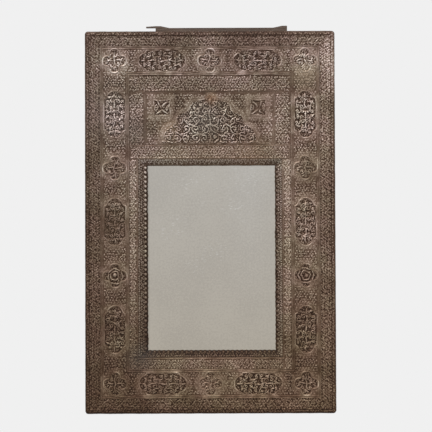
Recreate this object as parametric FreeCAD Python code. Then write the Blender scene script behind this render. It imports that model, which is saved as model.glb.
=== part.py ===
import FreeCAD, Part
import math
import os
from collections import namedtuple

Vector = FreeCAD.Vector
Rect = namedtuple("Rect", "left right bottom top")

# A wall mirror: a pegged wooden frame clad in embossed sheet metal, with a glass set in
# from behind, a plank back and two swinging hanging rings.
# Lengths are millimetres. X runs to the viewer's right, +Y into the wall, +Z up.
# The origin lies on the wall plane, on the frame's centre line, level with the middle of
# the glass.

# Opening and the slope that leads down to the glass
opening_width = 256.4
opening_height = 370.0
sight_left = 18.4
sight_right = 13.2
sight_top = 12.0
sight_bottom = 13.0
sight_lip = 3.3

# Borders of the face, named from the outer edge inwards
edge_band = 30.0
cartouche_field = 45.4
mirror_border_side = 17.0
mirror_border_bottom = 23.0
mirror_border_top = 29.0
crest_border = 34.0
panel_height = 105.0

# Depths
wood_thickness = 20.0
plank_thickness = 8.0
sheet_thickness = 0.8
glass_thickness = 3.0
rebate_depth = 11.0
rebate_width = 8.0
glass_clearance = 0.6

# Rounding of the clad outer edge
corner_radius = 6.0
nose_radius = 4.0
flange_setback = 1.0

# Embossed ribs, motifs and beads
rib_width = 3.0
rib_gap = 0.8
rib_height = 1.5
rib_draft = 0.8
edge_rib_inset = 6.5
border_rib_inset = 1.0
crest_rib_inset = 2.0
motif_height = 1.3
bead_radius = 3.2
bead_height = 2.2
bead_inset = 4.2
bead_pitch = 9.3
bead_sides = 8

# Motifs: half lengths and radii of their raised outlines, and their margins
side_cartouche_half_length = 48.6
rail_cartouche_half_length = 49.0
motif_margin = 0.7
panel_motif_radius = 18.5
panel_motif_inset = 31.0
arch_side_inset = 24.4
arch_base_inset = 2.0
arch_top_inset = 3.0
side_steps = 6
rail_steps = 4

# Outlines of the motifs, as shares of their half length, half width, radius or height
cartouche_tip_shares = (1.0, 0.0)
cartouche_lobe_shares = (0.955, 0.40)
cartouche_waist_shares = (0.84, 0.65)
cartouche_hollow_shares = (0.735, 0.76)
cartouche_corner_shares = (0.68, 1.0)
foil_tip_shares = (1.0, 0.0)
foil_brow_shares = (0.954, 0.249)
foil_lobe_shares = (0.778, 0.429)
foil_root_shares = (0.53, 0.48)
foil_barb_shares = (0.56, 0.56)
tile_corner_shares = (1.0, 1.0)
tile_hollow_shares = (0.88, 0.0)
arch_foot_shares = (1.0, 0.0)
arch_springing_shares = (0.91, 0.09)
arch_low_lobe_shares = (0.88, 0.25)
arch_low_step_shares = (0.76, 0.36)
arch_middle_foot_shares = (0.67, 0.43)
arch_middle_lobe_shares = (0.64, 0.56)
arch_middle_step_shares = (0.50, 0.635)
arch_upper_foot_shares = (0.42, 0.685)
arch_upper_lobe_shares = (0.36, 0.82)
arch_shoulder_shares = (0.22, 0.885)
arch_neck_shares = (0.085, 0.925)
arch_apex_shares = (0.0, 1.0)

# Joinery of the core
top_rail_height = 95.0
cross_rail_height = 62.0
tenon_length = 45.0
tenon_thickness = 7.0
tenon_shoulder = 19.0
joint_clearance = 0.15
crest_board_thickness = 14.0
tongue_length = 8.0
tongue_thickness = 6.0
peg_radius = 3.2
peg_sides = 8
peg_shares = (0.28, 0.72)
single_peg_shares = (0.5,)

# Back planks and what nails them
plank_lap = 20.0
plank_gap = 0.4
plank_count = 3
nail_radius = 2.0
nail_length = 22.0
nail_inset = 10.0
nail_spread_shares = (0.24, 0.76)
nail_edge_shares = (0.34, 0.66)
nail_sides = 4
head_sink = 0.2

# Glazing fillets
fillet_clearance = 0.3

# Hanging batten: its upper edge is hollowed between two raised ends, and its left end
# keeps a thin overhanging lip
batten_length = 265.0
batten_offset = 23.5
batten_drop = 58.0
batten_rise = 9.4
batten_end_rise = 13.2
batten_slope = 28.0
batten_flat = 10.0
batten_lip_length = 19.0
batten_lip_height = 3.4
batten_lip_dip = 1.2
batten_screw_inset = 36.0
batten_screw_count = 4
batten_screw_drop = 30.0
batten_screw_head_radius = 4.2
batten_screw_radius = 2.0
batten_screw_length = 23.0
screw_sides = 8

# Hanger straps and rings
hanger_drop = 165.0
hanger_inset = 72.0
strap_length = 52.0
strap_width = 16.0
strap_thickness = 1.5
strap_end_chamfer = 4.0
strap_hole_reach = 28.0
strap_hole_step = 15.0
strap_hole_count = 2
strap_screw_head_radius = 3.6
strap_screw_crown_radius = 2.4
strap_screw_head_height = 1.9
strap_screw_radius = 1.7
strap_screw_length = 15.0
ring_bar = 3.2
ring_clearance = 0.08
ring_inner_width = 20.0
ring_journal = 18.0
ring_straight = 8.0

# Length by which a cutting body runs past what it cuts
overrun = 2.0

# Sizes that follow from those above
fillet_zone = rib_width + rib_gap + rib_width
cartouche_band = fillet_zone + cartouche_field + fillet_zone
face_border = edge_band + cartouche_band
frame_width = (face_border + mirror_border_side + sight_left + opening_width
               + sight_right + mirror_border_side + face_border)
bottom_margin = face_border + mirror_border_bottom + sight_bottom
top_margin = sight_top + mirror_border_top + panel_height + crest_border + face_border
motif_radius = cartouche_field / 2 - motif_margin
arch_height = panel_height - arch_base_inset - arch_top_inset
batten_left = batten_offset - batten_length / 2
batten_right = batten_offset + batten_length / 2

wood_back = -plank_thickness
wood_front = wood_back - wood_thickness
wood_middle = (wood_front + wood_back) / 2
sheet_front = wood_front - sheet_thickness
glass_front = wood_back - rebate_depth
glass_back = glass_front + glass_thickness
sight_edge = glass_front - sight_lip
relief_front = sheet_front - rib_height - motif_height - overrun

frame = Rect(-frame_width / 2, frame_width / 2,
             -opening_height / 2 - bottom_margin, opening_height / 2 + top_margin)
opening_left = frame.left + face_border + mirror_border_side + sight_left
opening = Rect(opening_left, opening_left + opening_width,
               -opening_height / 2, opening_height / 2)
sight = Rect(opening.left - sight_left, opening.right + sight_right,
             opening.bottom - sight_bottom, opening.top + sight_top)


def inset(rect, distance):
    """A rectangle drawn in by a distance on all sides, or let out by a negative one."""
    return Rect(rect.left + distance, rect.right - distance,
                rect.bottom + distance, rect.top - distance)


band_outer = inset(frame, edge_band)
field = inset(frame, face_border)
cross_top = sight.top + mirror_border_top
panel = Rect(field.left + crest_border, field.right - crest_border,
             cross_top, field.top - crest_border)
core = inset(frame, sheet_thickness)
arch_half_width = (panel.right - panel.left) / 2 - arch_side_inset
wood_opening = inset(opening, -sheet_thickness)
rebate = inset(opening, -rebate_width)
plank_field = inset(rebate, -plank_lap)


def slab(rect, front, back):
    """A block over a rectangle of the face, between two depths."""
    return Part.makeBox(rect.right - rect.left, back - front, rect.top - rect.bottom,
                        Vector(rect.left, front, rect.bottom))


def polyhedron(rings):
    """A solid with flat faces through rings of points; a ring of one point is a tip."""
    faces = []
    for lower, upper in zip(rings, rings[1:]):
        count = max(len(lower), len(upper))
        for index in range(count):
            corners = [lower[index % len(lower)], lower[(index + 1) % count % len(lower)],
                       upper[(index + 1) % count % len(upper)], upper[index % len(upper)]]
            loop = [point for place, point in enumerate(corners) if point is not corners[place - 1]]
            faces.append(Part.Face(Part.makePolygon(loop + loop[:1])))
    for ring in (rings[0], rings[-1]):
        if len(ring) > 1:
            faces.append(Part.Face(Part.makePolygon(ring + ring[:1])))
    solid = Part.Solid(Part.Shell(faces))
    return solid if solid.Volume > 0 else solid.reversed()


def faceted(profile, sides):
    """A many-sided body round its own Z through (radius, height) pairs; radius 0 is a tip."""
    rings = []
    for radius, height in profile:
        angles = [2 * math.pi * step / sides for step in range(sides if radius else 1)]
        rings.append([Vector(radius * math.cos(angle), radius * math.sin(angle), height)
                      for angle in angles])
    return polyhedron(rings)


def hopper(front_rect, front, back_rect, back):
    """A block with sloped sides between a front and a back rectangle."""
    rings = []
    for rect, depth in ((front_rect, front), (back_rect, back)):
        corners = ((rect.left, rect.bottom), (rect.right, rect.bottom),
                   (rect.right, rect.top), (rect.left, rect.top))
        rings.append([Vector(x, depth, z) for x, z in corners])
    return polyhedron(rings)


def rib_ring(rect):
    """A raised rib with sloped flanks that runs round a rectangle, inside its outline."""
    crest = sheet_front - rib_height
    outside = hopper(inset(rect, rib_draft), crest, rect, sheet_front)
    inside = hopper(inset(rect, rib_width - rib_draft), crest,
                    inset(rect, rib_width), sheet_front)
    return outside.cut(inside)


def brim_edges(block, front):
    """The edges round the front face of a block."""
    return [edge for edge in block.Edges if abs(edge.BoundBox.YMax - front) < sheet_thickness / 2]


def depth_edges(block):
    """The edges that run from the front of a block to its back."""
    return [edge for edge in block.Edges if edge.BoundBox.YLength > wood_thickness / 2]


def rounded_block(rect, front, back, plan_radius, edge_radius):
    """A block with rounded corners, rounded over along its front edge."""
    block = slab(rect, front, back)
    block = block.makeFillet(plan_radius, depth_edges(block))
    return block.makeFillet(edge_radius, brim_edges(block, front))


def eased_block(rect, front, back, plan_cut, edge_cut):
    """A block with its corners and its front edge planed off, to lie inside rounded ones."""
    block = slab(rect, front, back)
    block = block.makeChamfer(plan_cut, depth_edges(block))
    return block.makeChamfer(edge_cut, brim_edges(block, front))


def outline(start, runs, at):
    """A closed wire from lines (end,) and arcs (middle, end), placed by a function."""
    edges = []
    here = start
    for run in runs:
        there = run[-1]
        if len(run) > 1:
            edges.append(Part.Arc(at(here), at(run[0]), at(there)).toShape())
        else:
            edges.append(Part.makeLine(at(here), at(there)))
        here = there
    return Part.Wire(edges)


def cartouche_runs():
    """A long cartouche: straight sides, hollow shoulders and a round lobe at both ends."""
    def pick(shares, along, across):
        return (shares[0] * along, shares[1] * across)

    runs = []
    for along, across in ((1, 1), (-1, -1)):
        runs += [
            (pick(cartouche_lobe_shares, along, across), pick(cartouche_waist_shares, along, across)),
            (pick(cartouche_hollow_shares, along, across), pick(cartouche_corner_shares, along, across)),
            (pick(cartouche_corner_shares, -along, across),),
            (pick(cartouche_hollow_shares, -along, across), pick(cartouche_waist_shares, -along, across)),
            (pick(cartouche_lobe_shares, -along, across), pick(cartouche_tip_shares, -along, across)),
        ]
    return cartouche_tip_shares, runs


def quatrefoil_runs():
    """Four faceted round lobes with a barb in each angle between them."""
    runs = []
    for quarter in range(4):
        cosine = round(math.cos(quarter * math.pi / 2))
        sine = round(math.sin(quarter * math.pi / 2))

        def turn(along, across):
            return (along * cosine - across * sine, along * sine + across * cosine)

        half = (foil_brow_shares, foil_lobe_shares, foil_root_shares)
        runs += [(turn(*shares),) for shares in (*half, foil_barb_shares)]
        runs += [(turn(across, along),) for along, across in reversed((foil_tip_shares, *half))]
    return foil_tip_shares, runs


def tile_runs():
    """A small square tile with hollow sides."""
    along, across = tile_corner_shares
    hollow = tile_hollow_shares[0]
    runs = [
        ((hollow, 0.0), (along, across)),
        ((0.0, hollow), (-along, across)),
        ((-hollow, 0.0), (-along, -across)),
        ((0.0, -hollow), (along, -across)),
    ]
    return (along, -across), runs


def arch_runs():
    """A stepped ogee arch: three lobes on each side, rising to a point."""
    right = [
        (arch_springing_shares,),
        (arch_low_lobe_shares, arch_low_step_shares),
        (arch_middle_foot_shares,),
        (arch_middle_lobe_shares, arch_middle_step_shares),
        (arch_upper_foot_shares,),
        (arch_upper_lobe_shares, arch_shoulder_shares),
        (arch_neck_shares, arch_apex_shares),
    ]
    stops = [arch_foot_shares] + [run[-1] for run in right]
    left = []
    for index in range(len(right) - 1, -1, -1):
        across, up = stops[index]
        middles = [(-share[0], share[1]) for share in right[index][:-1]]
        left.append((*middles, (-across, up)))
    return arch_foot_shares, right + left + [(arch_foot_shares,)]


def raised(motif, at):
    """A motif raised from the sheet, its outline placed on the face by a function."""
    start, runs = motif
    face = Part.Face(outline(start, runs, at))
    return face.extrude(Vector(0, -motif_height, 0))


def upright_motif(motif, x, z, half_length, half_width):
    """A motif whose length runs up the frame."""
    return raised(motif, lambda share: Vector(x + share[1] * half_width, sheet_front,
                                              z + share[0] * half_length))


def level_motif(motif, x, z, half_length, half_width):
    """A motif whose length runs across the frame."""
    return raised(motif, lambda share: Vector(x + share[0] * half_length, sheet_front,
                                              z + share[1] * half_width))


def spread(first, last, pitch):
    """Places at an even step near a pitch, half a step in from each end."""
    count = max(2, round((last - first) / pitch))
    return [first + (last - first) * (index + 0.5) / count for index in range(count)]


def towards(point, direction, shape):
    """A shape drawn along its own Z, set at a point with Z turned to a direction."""
    shape.Placement = FreeCAD.Placement(point, FreeCAD.Rotation(Vector(0, 0, 1), direction))
    return shape


def bore(point, direction, radius, length):
    """A round body that starts at a point and runs along a direction."""
    return Part.makeCylinder(radius, length, point, direction)


def prism(point, direction, radius, length, sides):
    """A straight many-sided body that starts at a point and runs along a direction."""
    return towards(point, direction, faceted([(radius, 0), (radius, length)], sides))


def drilled(shape, cutters):
    """A shape with those bores taken out that reach its bounding box."""
    near = [cutter for cutter in cutters if shape.BoundBox.intersect(cutter.BoundBox)]
    return shape.cut(near) if near else shape


to_front = Vector(0, -1, 0)
to_wall = Vector(0, 1, 0)


def tenon_spans():
    """Each rail's height range, with the shares of its tenon where pegs cross it."""
    return {
        "top_rail": (core.top - top_rail_height, core.top, peg_shares),
        "cross_rail": (wood_opening.top, wood_opening.top + cross_rail_height, single_peg_shares),
        "bottom_rail": (core.bottom, wood_opening.bottom, peg_shares),
    }


def crest_board_rect(allowance):
    """The crest board's tongued outline, let out by a clearance for its groove."""
    spans = tenon_spans()
    body = Rect(wood_opening.left, wood_opening.right, spans["cross_rail"][1], spans["top_rail"][0])
    return inset(body, -tongue_length - allowance)


def tenon_block(low, high, allowance):
    """The tenons of one rail as a bar through it, let out by a clearance for the mortises."""
    reach = tenon_length + allowance
    rect = Rect(wood_opening.left - reach, wood_opening.right + reach,
                low + tenon_shoulder - allowance, high - tenon_shoulder + allowance)
    half = tenon_thickness / 2 + allowance
    return slab(rect, wood_middle - half, wood_middle + half)


def make_pegs():
    """Pegs through every mortise and tenon, flush with both faces of the wood."""
    pegs = []
    for low, high, shares in tenon_spans().values():
        foot = low + tenon_shoulder
        height = high - low - 2 * tenon_shoulder
        for x in (wood_opening.left - tenon_length / 2, wood_opening.right + tenon_length / 2):
            for share in shares:
                point = Vector(x, wood_front, foot + height * share)
                pegs.append(prism(point, to_wall, peg_radius, wood_thickness, peg_sides))
    return pegs


def make_core(cutters):
    """Stiles, rails and crest board with their tenons, grooves, slope and rebate."""
    block = eased_block(core, wood_front, wood_back, corner_radius - sheet_thickness,
                        nose_radius - sheet_thickness)
    slope = hopper(sight, wood_front, opening, sight_edge + sheet_thickness)
    block = block.cut([slope, slab(wood_opening, wood_front - overrun, wood_back + overrun),
                       slab(rebate, glass_front, wood_back + overrun)])

    tongue_front = wood_front + (crest_board_thickness - tongue_thickness) / 2
    tongue_back = tongue_front + tongue_thickness
    groove = slab(crest_board_rect(joint_clearance), tongue_front - joint_clearance,
                  tongue_back + joint_clearance)
    spans = tenon_spans()
    mortises = [tenon_block(low, high, joint_clearance) for low, high, _ in spans.values()]

    pieces = {}
    for name, left, right in (("left_stile", core.left, wood_opening.left),
                              ("right_stile", wood_opening.right, core.right)):
        bar = slab(Rect(left, right, core.bottom, core.top), wood_front, wood_back)
        pieces[name] = block.common(bar).cut(mortises + [groove])
    for name, (low, high, _) in spans.items():
        bar = slab(Rect(wood_opening.left, wood_opening.right, low, high), wood_front, wood_back)
        rail = block.common(bar).cut(groove)
        tenons = tenon_block(low, high, 0).cut(bar)
        pieces[name] = rail.fuse(tenons).removeSplitter()

    board = slab(crest_board_rect(-tongue_length), wood_front, wood_front + crest_board_thickness)
    tongue = slab(crest_board_rect(0), tongue_front, tongue_back)
    pieces["crest_board"] = board.fuse(tongue).removeSplitter()
    return {name: drilled(shape, cutters) for name, shape in pieces.items()}


def make_edge_strips():
    """The outer scroll band, folded round the edge of the wood and mitred at the corners."""
    outside = rounded_block(frame, sheet_front, wood_back - flange_setback,
                            corner_radius, nose_radius)
    inside = eased_block(core, wood_front, wood_back, corner_radius - sheet_thickness,
                         nose_radius - sheet_thickness)
    shell = outside.cut([inside, slab(band_outer, relief_front, wood_back)])
    shell = shell.fuse(rib_ring(inset(frame, edge_rib_inset))).removeSplitter()

    out, inner = inset(frame, -overrun), inset(band_outer, overrun)
    corners = {
        "top": [(out.left, out.top), (out.right, out.top), (inner.right, inner.top),
                (inner.left, inner.top)],
        "bottom": [(out.left, out.bottom), (out.right, out.bottom), (inner.right, inner.bottom),
                   (inner.left, inner.bottom)],
        "left": [(out.left, out.bottom), (out.left, out.top), (inner.left, inner.top),
                 (inner.left, inner.bottom)],
        "right": [(out.right, out.bottom), (out.right, out.top), (inner.right, inner.top),
                  (inner.right, inner.bottom)],
    }
    strips = {}
    for side, points in corners.items():
        points = points + points[:1]
        face = Part.Face(Part.makePolygon([Vector(x, relief_front, z) for x, z in points]))
        wedge = face.extrude(Vector(0, wood_back - relief_front, 0))
        strips[f"edge_strip_{side}"] = shell.common(wedge)
    return strips


def steps(first, last, count):
    """Places at even steps from a first to a last one."""
    return [first + (last - first) * index / count for index in range(count + 1)]


def make_bands():
    """The cartouche bands: double ribs along both edges, cartouches and quatrefoils between."""
    ring = inset(frame, edge_band + cartouche_band / 2)
    rows = steps(ring.bottom, ring.top, side_steps)
    columns = steps(ring.left, ring.right, rail_steps)
    inner_ribs = inset(band_outer, fillet_zone + cartouche_field)
    ribs = [rib_ring(inset(start, step)) for start in (band_outer, inner_ribs)
            for step in (0, rib_width + rib_gap)]
    rects = {
        "left": Rect(band_outer.left, field.left, band_outer.bottom, band_outer.top),
        "right": Rect(field.right, band_outer.right, band_outer.bottom, band_outer.top),
        "top": Rect(field.left, field.right, field.top, band_outer.top),
        "bottom": Rect(field.left, field.right, band_outer.bottom, field.bottom),
    }
    cartouche, quatrefoil = cartouche_runs(), quatrefoil_runs()
    motifs = {side: [] for side in rects}
    for index, z in enumerate(rows):
        motif, half_length = ((cartouche, side_cartouche_half_length) if index % 2
                              else (quatrefoil, motif_radius))
        for side, x in (("left", ring.left), ("right", ring.right)):
            motifs[side].append(upright_motif(motif, x, z, half_length, motif_radius))
    for index, x in list(enumerate(columns))[1:-1]:
        motif, half_length = ((cartouche, rail_cartouche_half_length) if index % 2
                              else (quatrefoil, motif_radius))
        for side, z in (("top", ring.top), ("bottom", ring.bottom)):
            motifs[side].append(level_motif(motif, x, z, half_length, motif_radius))

    bands = {}
    for side, rect in rects.items():
        reach = slab(rect, relief_front, sheet_front)
        relief = [rib.common(reach) for rib in ribs] + motifs[side]
        sheet = slab(rect, sheet_front, wood_front)
        bands[f"cartouche_band_{side}"] = sheet.fuse(relief).removeSplitter()
    return bands


def make_borders():
    """The scroll borders round the crest panel and the mirror, and the panel with its arch."""
    crest_rib = rib_ring(inset(panel, -crest_rib_inset - rib_width))
    sight_rib = rib_ring(inset(sight, -border_rib_inset - rib_width))
    cross = Rect(field.left, field.right, sight.top, cross_top)
    sheets = {
        "crest_border_top": (Rect(field.left, field.right, panel.top, field.top), [crest_rib]),
        "crest_border_left": (Rect(field.left, panel.left, cross_top, panel.top), [crest_rib]),
        "crest_border_right": (Rect(panel.right, field.right, cross_top, panel.top), [crest_rib]),
        "mirror_border_top": (cross, [rib_ring(inset(cross, border_rib_inset))]),
        "mirror_border_left": (Rect(field.left, sight.left, field.bottom, sight.top), [sight_rib]),
        "mirror_border_right": (Rect(sight.right, field.right, field.bottom, sight.top), [sight_rib]),
        "mirror_border_bottom": (Rect(sight.left, sight.right, field.bottom, sight.bottom), [sight_rib]),
    }
    borders = {}
    for name, (rect, ribs) in sheets.items():
        reach = slab(rect, relief_front, sheet_front)
        raised_ribs = [rib.common(reach) for rib in ribs]
        borders[name] = slab(rect, sheet_front, wood_front).fuse(raised_ribs).removeSplitter()

    middle = (panel.left + panel.right) / 2
    motifs = [level_motif(arch_runs(), middle, panel.bottom + arch_base_inset,
                          arch_half_width, arch_height)]
    for x in (panel.left + panel_motif_inset, panel.right - panel_motif_inset):
        motifs.append(upright_motif(tile_runs(), x, panel.top - panel_motif_inset,
                                    panel_motif_radius, panel_motif_radius))
    sheet = slab(panel, sheet_front, wood_front)
    borders["crest_panel"] = sheet.fuse(motifs).removeSplitter()
    return borders


def make_sight_strips():
    """Sloped strips from the borders down to the glass, each with its row of beads."""
    shell = hopper(sight, sheet_front, opening, sight_edge)
    under = hopper(sight, wood_front, opening, sight_edge + sheet_thickness)
    slope = under.cut(shell)
    flange = slab(wood_opening, sight_edge, glass_front)
    ring = slope.fuse(flange).cut([shell, slab(opening, sheet_front - overrun, wood_back)])
    ring = ring.removeSplitter()

    sides = {
        "top": ((sight.left, sight.top), (sight.right, sight.top),
                (opening.right, opening.top), (opening.left, opening.top)),
        "bottom": ((sight.left, sight.bottom), (sight.right, sight.bottom),
                   (opening.right, opening.bottom), (opening.left, opening.bottom)),
        "left": ((sight.left, sight.bottom), (sight.left, sight.top),
                 (opening.left, opening.top), (opening.left, opening.bottom)),
        "right": ((sight.right, sight.bottom), (sight.right, sight.top),
                  (opening.right, opening.top), (opening.right, opening.bottom)),
    }
    strips = {}
    for side, (outer_a, outer_b, inner_b, inner_a) in sides.items():
        corners = [outer_a, outer_b, inner_b, inner_a, outer_a]
        face = Part.Face(Part.makePolygon([Vector(x, relief_front, z) for x, z in corners]))
        strip = ring.common(face.extrude(Vector(0, glass_front - relief_front, 0)))

        start = Vector(inner_a[0], sight_edge, inner_a[1])
        end = Vector(inner_b[0], sight_edge, inner_b[1])
        along = (end - start).normalize()
        upper = Vector(outer_a[0], sheet_front, outer_a[1])
        up_slope = upper - start
        up_slope = up_slope - along * up_slope.dot(along)
        up_slope.normalize()
        row = start + up_slope * bead_inset
        normal = up_slope.cross(along)
        normal = normal if normal.y < 0 else -normal
        profile = [(bead_radius, 0), (0, bead_height)]
        beads = [towards(row + along * place, normal, faceted(profile, bead_sides))
                 for place in spread(0, start.distanceToPoint(end), bead_pitch)]
        strips[f"sight_strip_{side}"] = strip.fuse(beads).removeSplitter()
    return strips


def make_glazing():
    """The glass, and the fillets that hold it in its rebate."""
    seat = inset(rebate, fillet_clearance)
    pieces = {"mirror_glass": slab(inset(rebate, glass_clearance), glass_front, glass_back)}
    rects = {
        "top": Rect(seat.left, seat.right, opening.top, seat.top),
        "bottom": Rect(seat.left, seat.right, seat.bottom, opening.bottom),
        "left": Rect(seat.left, opening.left, opening.bottom, opening.top),
        "right": Rect(opening.right, seat.right, opening.bottom, opening.top),
    }
    for side, rect in rects.items():
        pieces[f"glazing_fillet_{side}"] = slab(rect, glass_back, wood_back)
    return pieces


def make_planks():
    """Back planks over the opening, and the nails along their ends and outer edges."""
    width = (plank_field.right - plank_field.left - plank_gap * (plank_count - 1)) / plank_count
    names = ("back_plank_left", "back_plank_middle", "back_plank_right")
    rects = []
    for index in range(plank_count):
        left = plank_field.left + index * (width + plank_gap)
        rects.append(Rect(left, left + width, plank_field.bottom, plank_field.top))

    nail_row = inset(plank_field, nail_inset)
    places = [(rect.left + width * share, z) for rect in rects for share in nail_spread_shares
              for z in (nail_row.bottom, nail_row.top)]
    places += [(x, nail_row.bottom + (nail_row.top - nail_row.bottom) * share)
               for x in (nail_row.left, nail_row.right) for share in nail_edge_shares]
    nails = [prism(Vector(x, -head_sink, z), to_front, nail_radius, nail_length, nail_sides)
             for x, z in places]
    bores = [prism(Vector(x, overrun, z), to_front, nail_radius,
                   nail_length + head_sink + overrun, nail_sides) for x, z in places]
    planks = {name: drilled(slab(rect, wood_back, 0), bores) for name, rect in zip(names, rects)}
    return planks, nails, bores


def make_batten():
    """The hanging batten with its hollowed upper edge and thin left lip, and its screws."""
    foot, mid, high = frame.top - batten_drop, frame.top + batten_rise, frame.top + batten_end_rise
    lip_end = batten_left - batten_lip_length
    points = [(batten_left, foot), (batten_right, foot), (batten_right, high),
              (batten_right - batten_flat, high), (batten_right - batten_slope, mid),
              (batten_left + batten_slope, mid), (batten_left + batten_flat, high),
              (batten_left, high), (lip_end, high - batten_lip_dip),
              (lip_end, high - batten_lip_height), (batten_left, high - batten_lip_height),
              (batten_left, foot)]
    face = Part.Face(Part.makePolygon([Vector(x, wood_back, z) for x, z in points]))
    batten = face.extrude(Vector(0, plank_thickness, 0))

    screws, recesses = [], []
    for x in steps(batten_left + batten_screw_inset, batten_right - batten_screw_inset,
                   batten_screw_count - 1):
        seat = Vector(x, -head_sink, frame.top - batten_screw_drop)
        taper = batten_screw_head_radius - batten_screw_radius
        profile = [(batten_screw_radius, -batten_screw_length), (batten_screw_radius, -taper),
                   (batten_screw_head_radius, 0)]
        mouth = [(batten_screw_head_radius, head_sink + overrun)]
        screws.append(towards(seat, to_wall, faceted(profile, screw_sides)))
        recesses.append(towards(seat, to_wall, faceted(profile + mouth, screw_sides)))
    return drilled(batten, recesses), screws, recesses


def make_hanger(side):
    """One hanger strap with its screws, and the ring that turns in its loop.

    side is -1 on the left and 1 on the right; the strap runs outwards, the ring inwards.
    """
    ring_bore = ring_bar / 2 + ring_clearance
    loop_radius = ring_bore + strap_thickness
    axis_x = side * (frame_width / 2 - hanger_inset)
    axis_y = wood_back + loop_radius
    level = frame.top - hanger_drop
    half_width = strap_width / 2

    far_x = axis_x + side * strap_length
    plate = slab(Rect(min(axis_x, far_x), max(axis_x, far_x), level - half_width, level + half_width),
                 wood_back, wood_back + strap_thickness)
    ends = [edge for edge in plate.Edges if edge.BoundBox.YLength > strap_thickness / 2
            and abs(edge.CenterOfMass.x - far_x) < strap_thickness]
    plate = plate.makeChamfer(strap_end_chamfer, ends)
    foot = Vector(axis_x, axis_y, level - half_width)
    loop = bore(foot, Vector(0, 0, 1), loop_radius, strap_width)
    strap = plate.fuse(loop).cut(bore(foot, Vector(0, 0, 1), ring_bore, strap_width))

    screws, pilots = [], []
    for index in range(strap_hole_count):
        reach = strap_hole_reach + index * strap_hole_step
        seat = Vector(axis_x + side * reach, wood_back + strap_thickness, level)
        profile = [(strap_screw_radius, -strap_screw_length), (strap_screw_radius, 0),
                   (strap_screw_head_radius, 0), (strap_screw_crown_radius, strap_screw_head_height)]
        screws.append(towards(seat, to_wall, faceted(profile, screw_sides)))
        pilots.append(towards(seat, to_wall, faceted(profile[:2], screw_sides)))
    strap = drilled(strap, pilots).removeSplitter()

    def d_plate(margin):
        """The D that runs along the middle of the bar, let out by a margin, as a plate."""
        half = (ring_inner_width + ring_bar) / 2 + margin
        tip = Vector(axis_x - side * (ring_straight + half), axis_y - ring_bar / 2, level)
        low, high = tip + Vector(side * half, 0, -half), tip + Vector(side * half, 0, half)
        reach = Vector(side * (ring_straight + margin), 0, 0)
        wire = Part.Wire([Part.makeLine(low + reach, low), Part.Arc(low, tip, high).toShape(),
                          Part.makeLine(high, high + reach), Part.makeLine(high + reach, low + reach)])
        return Part.Face(wire).extrude(Vector(0, ring_bar, 0))

    square_bar = d_plate(ring_bar / 2).cut(d_plate(-ring_bar / 2))
    neck = Rect(axis_x - ring_bar, axis_x + ring_bar, level - ring_journal / 2, level + ring_journal / 2)
    journal = bore(Vector(axis_x, axis_y, neck.bottom), Vector(0, 0, 1), ring_bar / 2, ring_journal)
    ring = square_bar.cut(slab(neck, axis_y - ring_bar, axis_y + ring_bar)).fuse(journal)
    return strap, screws, pilots, ring.removeSplitter()


def build():
    """All nodes of the mirror by name."""
    pegs = make_pegs()
    planks, nails, nail_bores = make_planks()
    batten, batten_screws, batten_bores = make_batten()
    left_strap, left_screws, left_pilots, left_ring = make_hanger(-1)
    right_strap, right_screws, right_pilots, right_ring = make_hanger(1)

    nodes = make_core(pegs + nail_bores + batten_bores + left_pilots + right_pilots)
    for group in (make_edge_strips(), make_bands(), make_borders(), make_sight_strips(),
                  make_glazing(), planks):
        nodes.update(group)
    nodes.update({
        "hanging_batten": batten,
        "left_hanger_strap": left_strap,
        "right_hanger_strap": right_strap,
        "left_hanging_ring": left_ring,
        "right_hanging_ring": right_ring,
        "joint_pegs": Part.makeCompound(pegs),
        "plank_nails": Part.makeCompound(nails),
        "batten_screws": Part.makeCompound(batten_screws),
        "hanger_screws": Part.makeCompound(left_screws + right_screws),
    })
    return nodes


os.makedirs("parts", exist_ok=True)
for node, shape in build().items():
    if not shape.isValid() or not shape.Solids:
        raise ValueError(f"{node} is not a valid solid")
    shape.exportStep(f"parts/{node}.step")
    print(node, len(shape.Solids), "solid(s)", round(shape.Volume), "cubic mm")
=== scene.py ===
"""An embossed wall mirror: its sheet metal, wood, glass and ironwork, and the studio around it.

Sizes are millimetres, as in the workshop, and are turned to metres where a mesh is written.
X runs to the viewer's right, +Y into the wall and +Z up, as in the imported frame.
"""

import logging
import math
from dataclasses import dataclass, field
from enum import Enum
from typing import Any, Callable, Iterable, Protocol

import bmesh
import bpy
import numpy as np
from mathutils import Matrix, Vector


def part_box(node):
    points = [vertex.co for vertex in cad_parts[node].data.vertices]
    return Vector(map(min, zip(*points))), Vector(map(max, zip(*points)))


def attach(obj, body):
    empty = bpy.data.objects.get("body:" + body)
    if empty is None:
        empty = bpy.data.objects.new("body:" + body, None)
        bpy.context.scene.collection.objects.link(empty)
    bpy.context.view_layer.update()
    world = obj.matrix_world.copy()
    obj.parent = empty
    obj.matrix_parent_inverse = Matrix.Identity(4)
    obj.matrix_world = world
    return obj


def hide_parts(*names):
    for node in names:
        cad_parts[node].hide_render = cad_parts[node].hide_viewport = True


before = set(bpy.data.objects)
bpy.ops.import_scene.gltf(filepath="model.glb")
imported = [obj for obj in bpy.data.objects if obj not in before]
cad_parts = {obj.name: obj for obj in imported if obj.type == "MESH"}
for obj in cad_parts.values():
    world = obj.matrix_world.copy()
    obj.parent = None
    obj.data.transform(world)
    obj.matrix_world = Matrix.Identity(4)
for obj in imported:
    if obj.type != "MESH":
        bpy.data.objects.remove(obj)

LOG = logging.getLogger("wall_mirror")
MM = 0.001
MIRROR_BODY = "mirror"
FULL_TURN = 2 * math.pi
QUARTER_TURN = math.pi / 2
FOUR_WAYS = ((1, 1), (-1, 1), (1, -1), (-1, -1))

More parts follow.
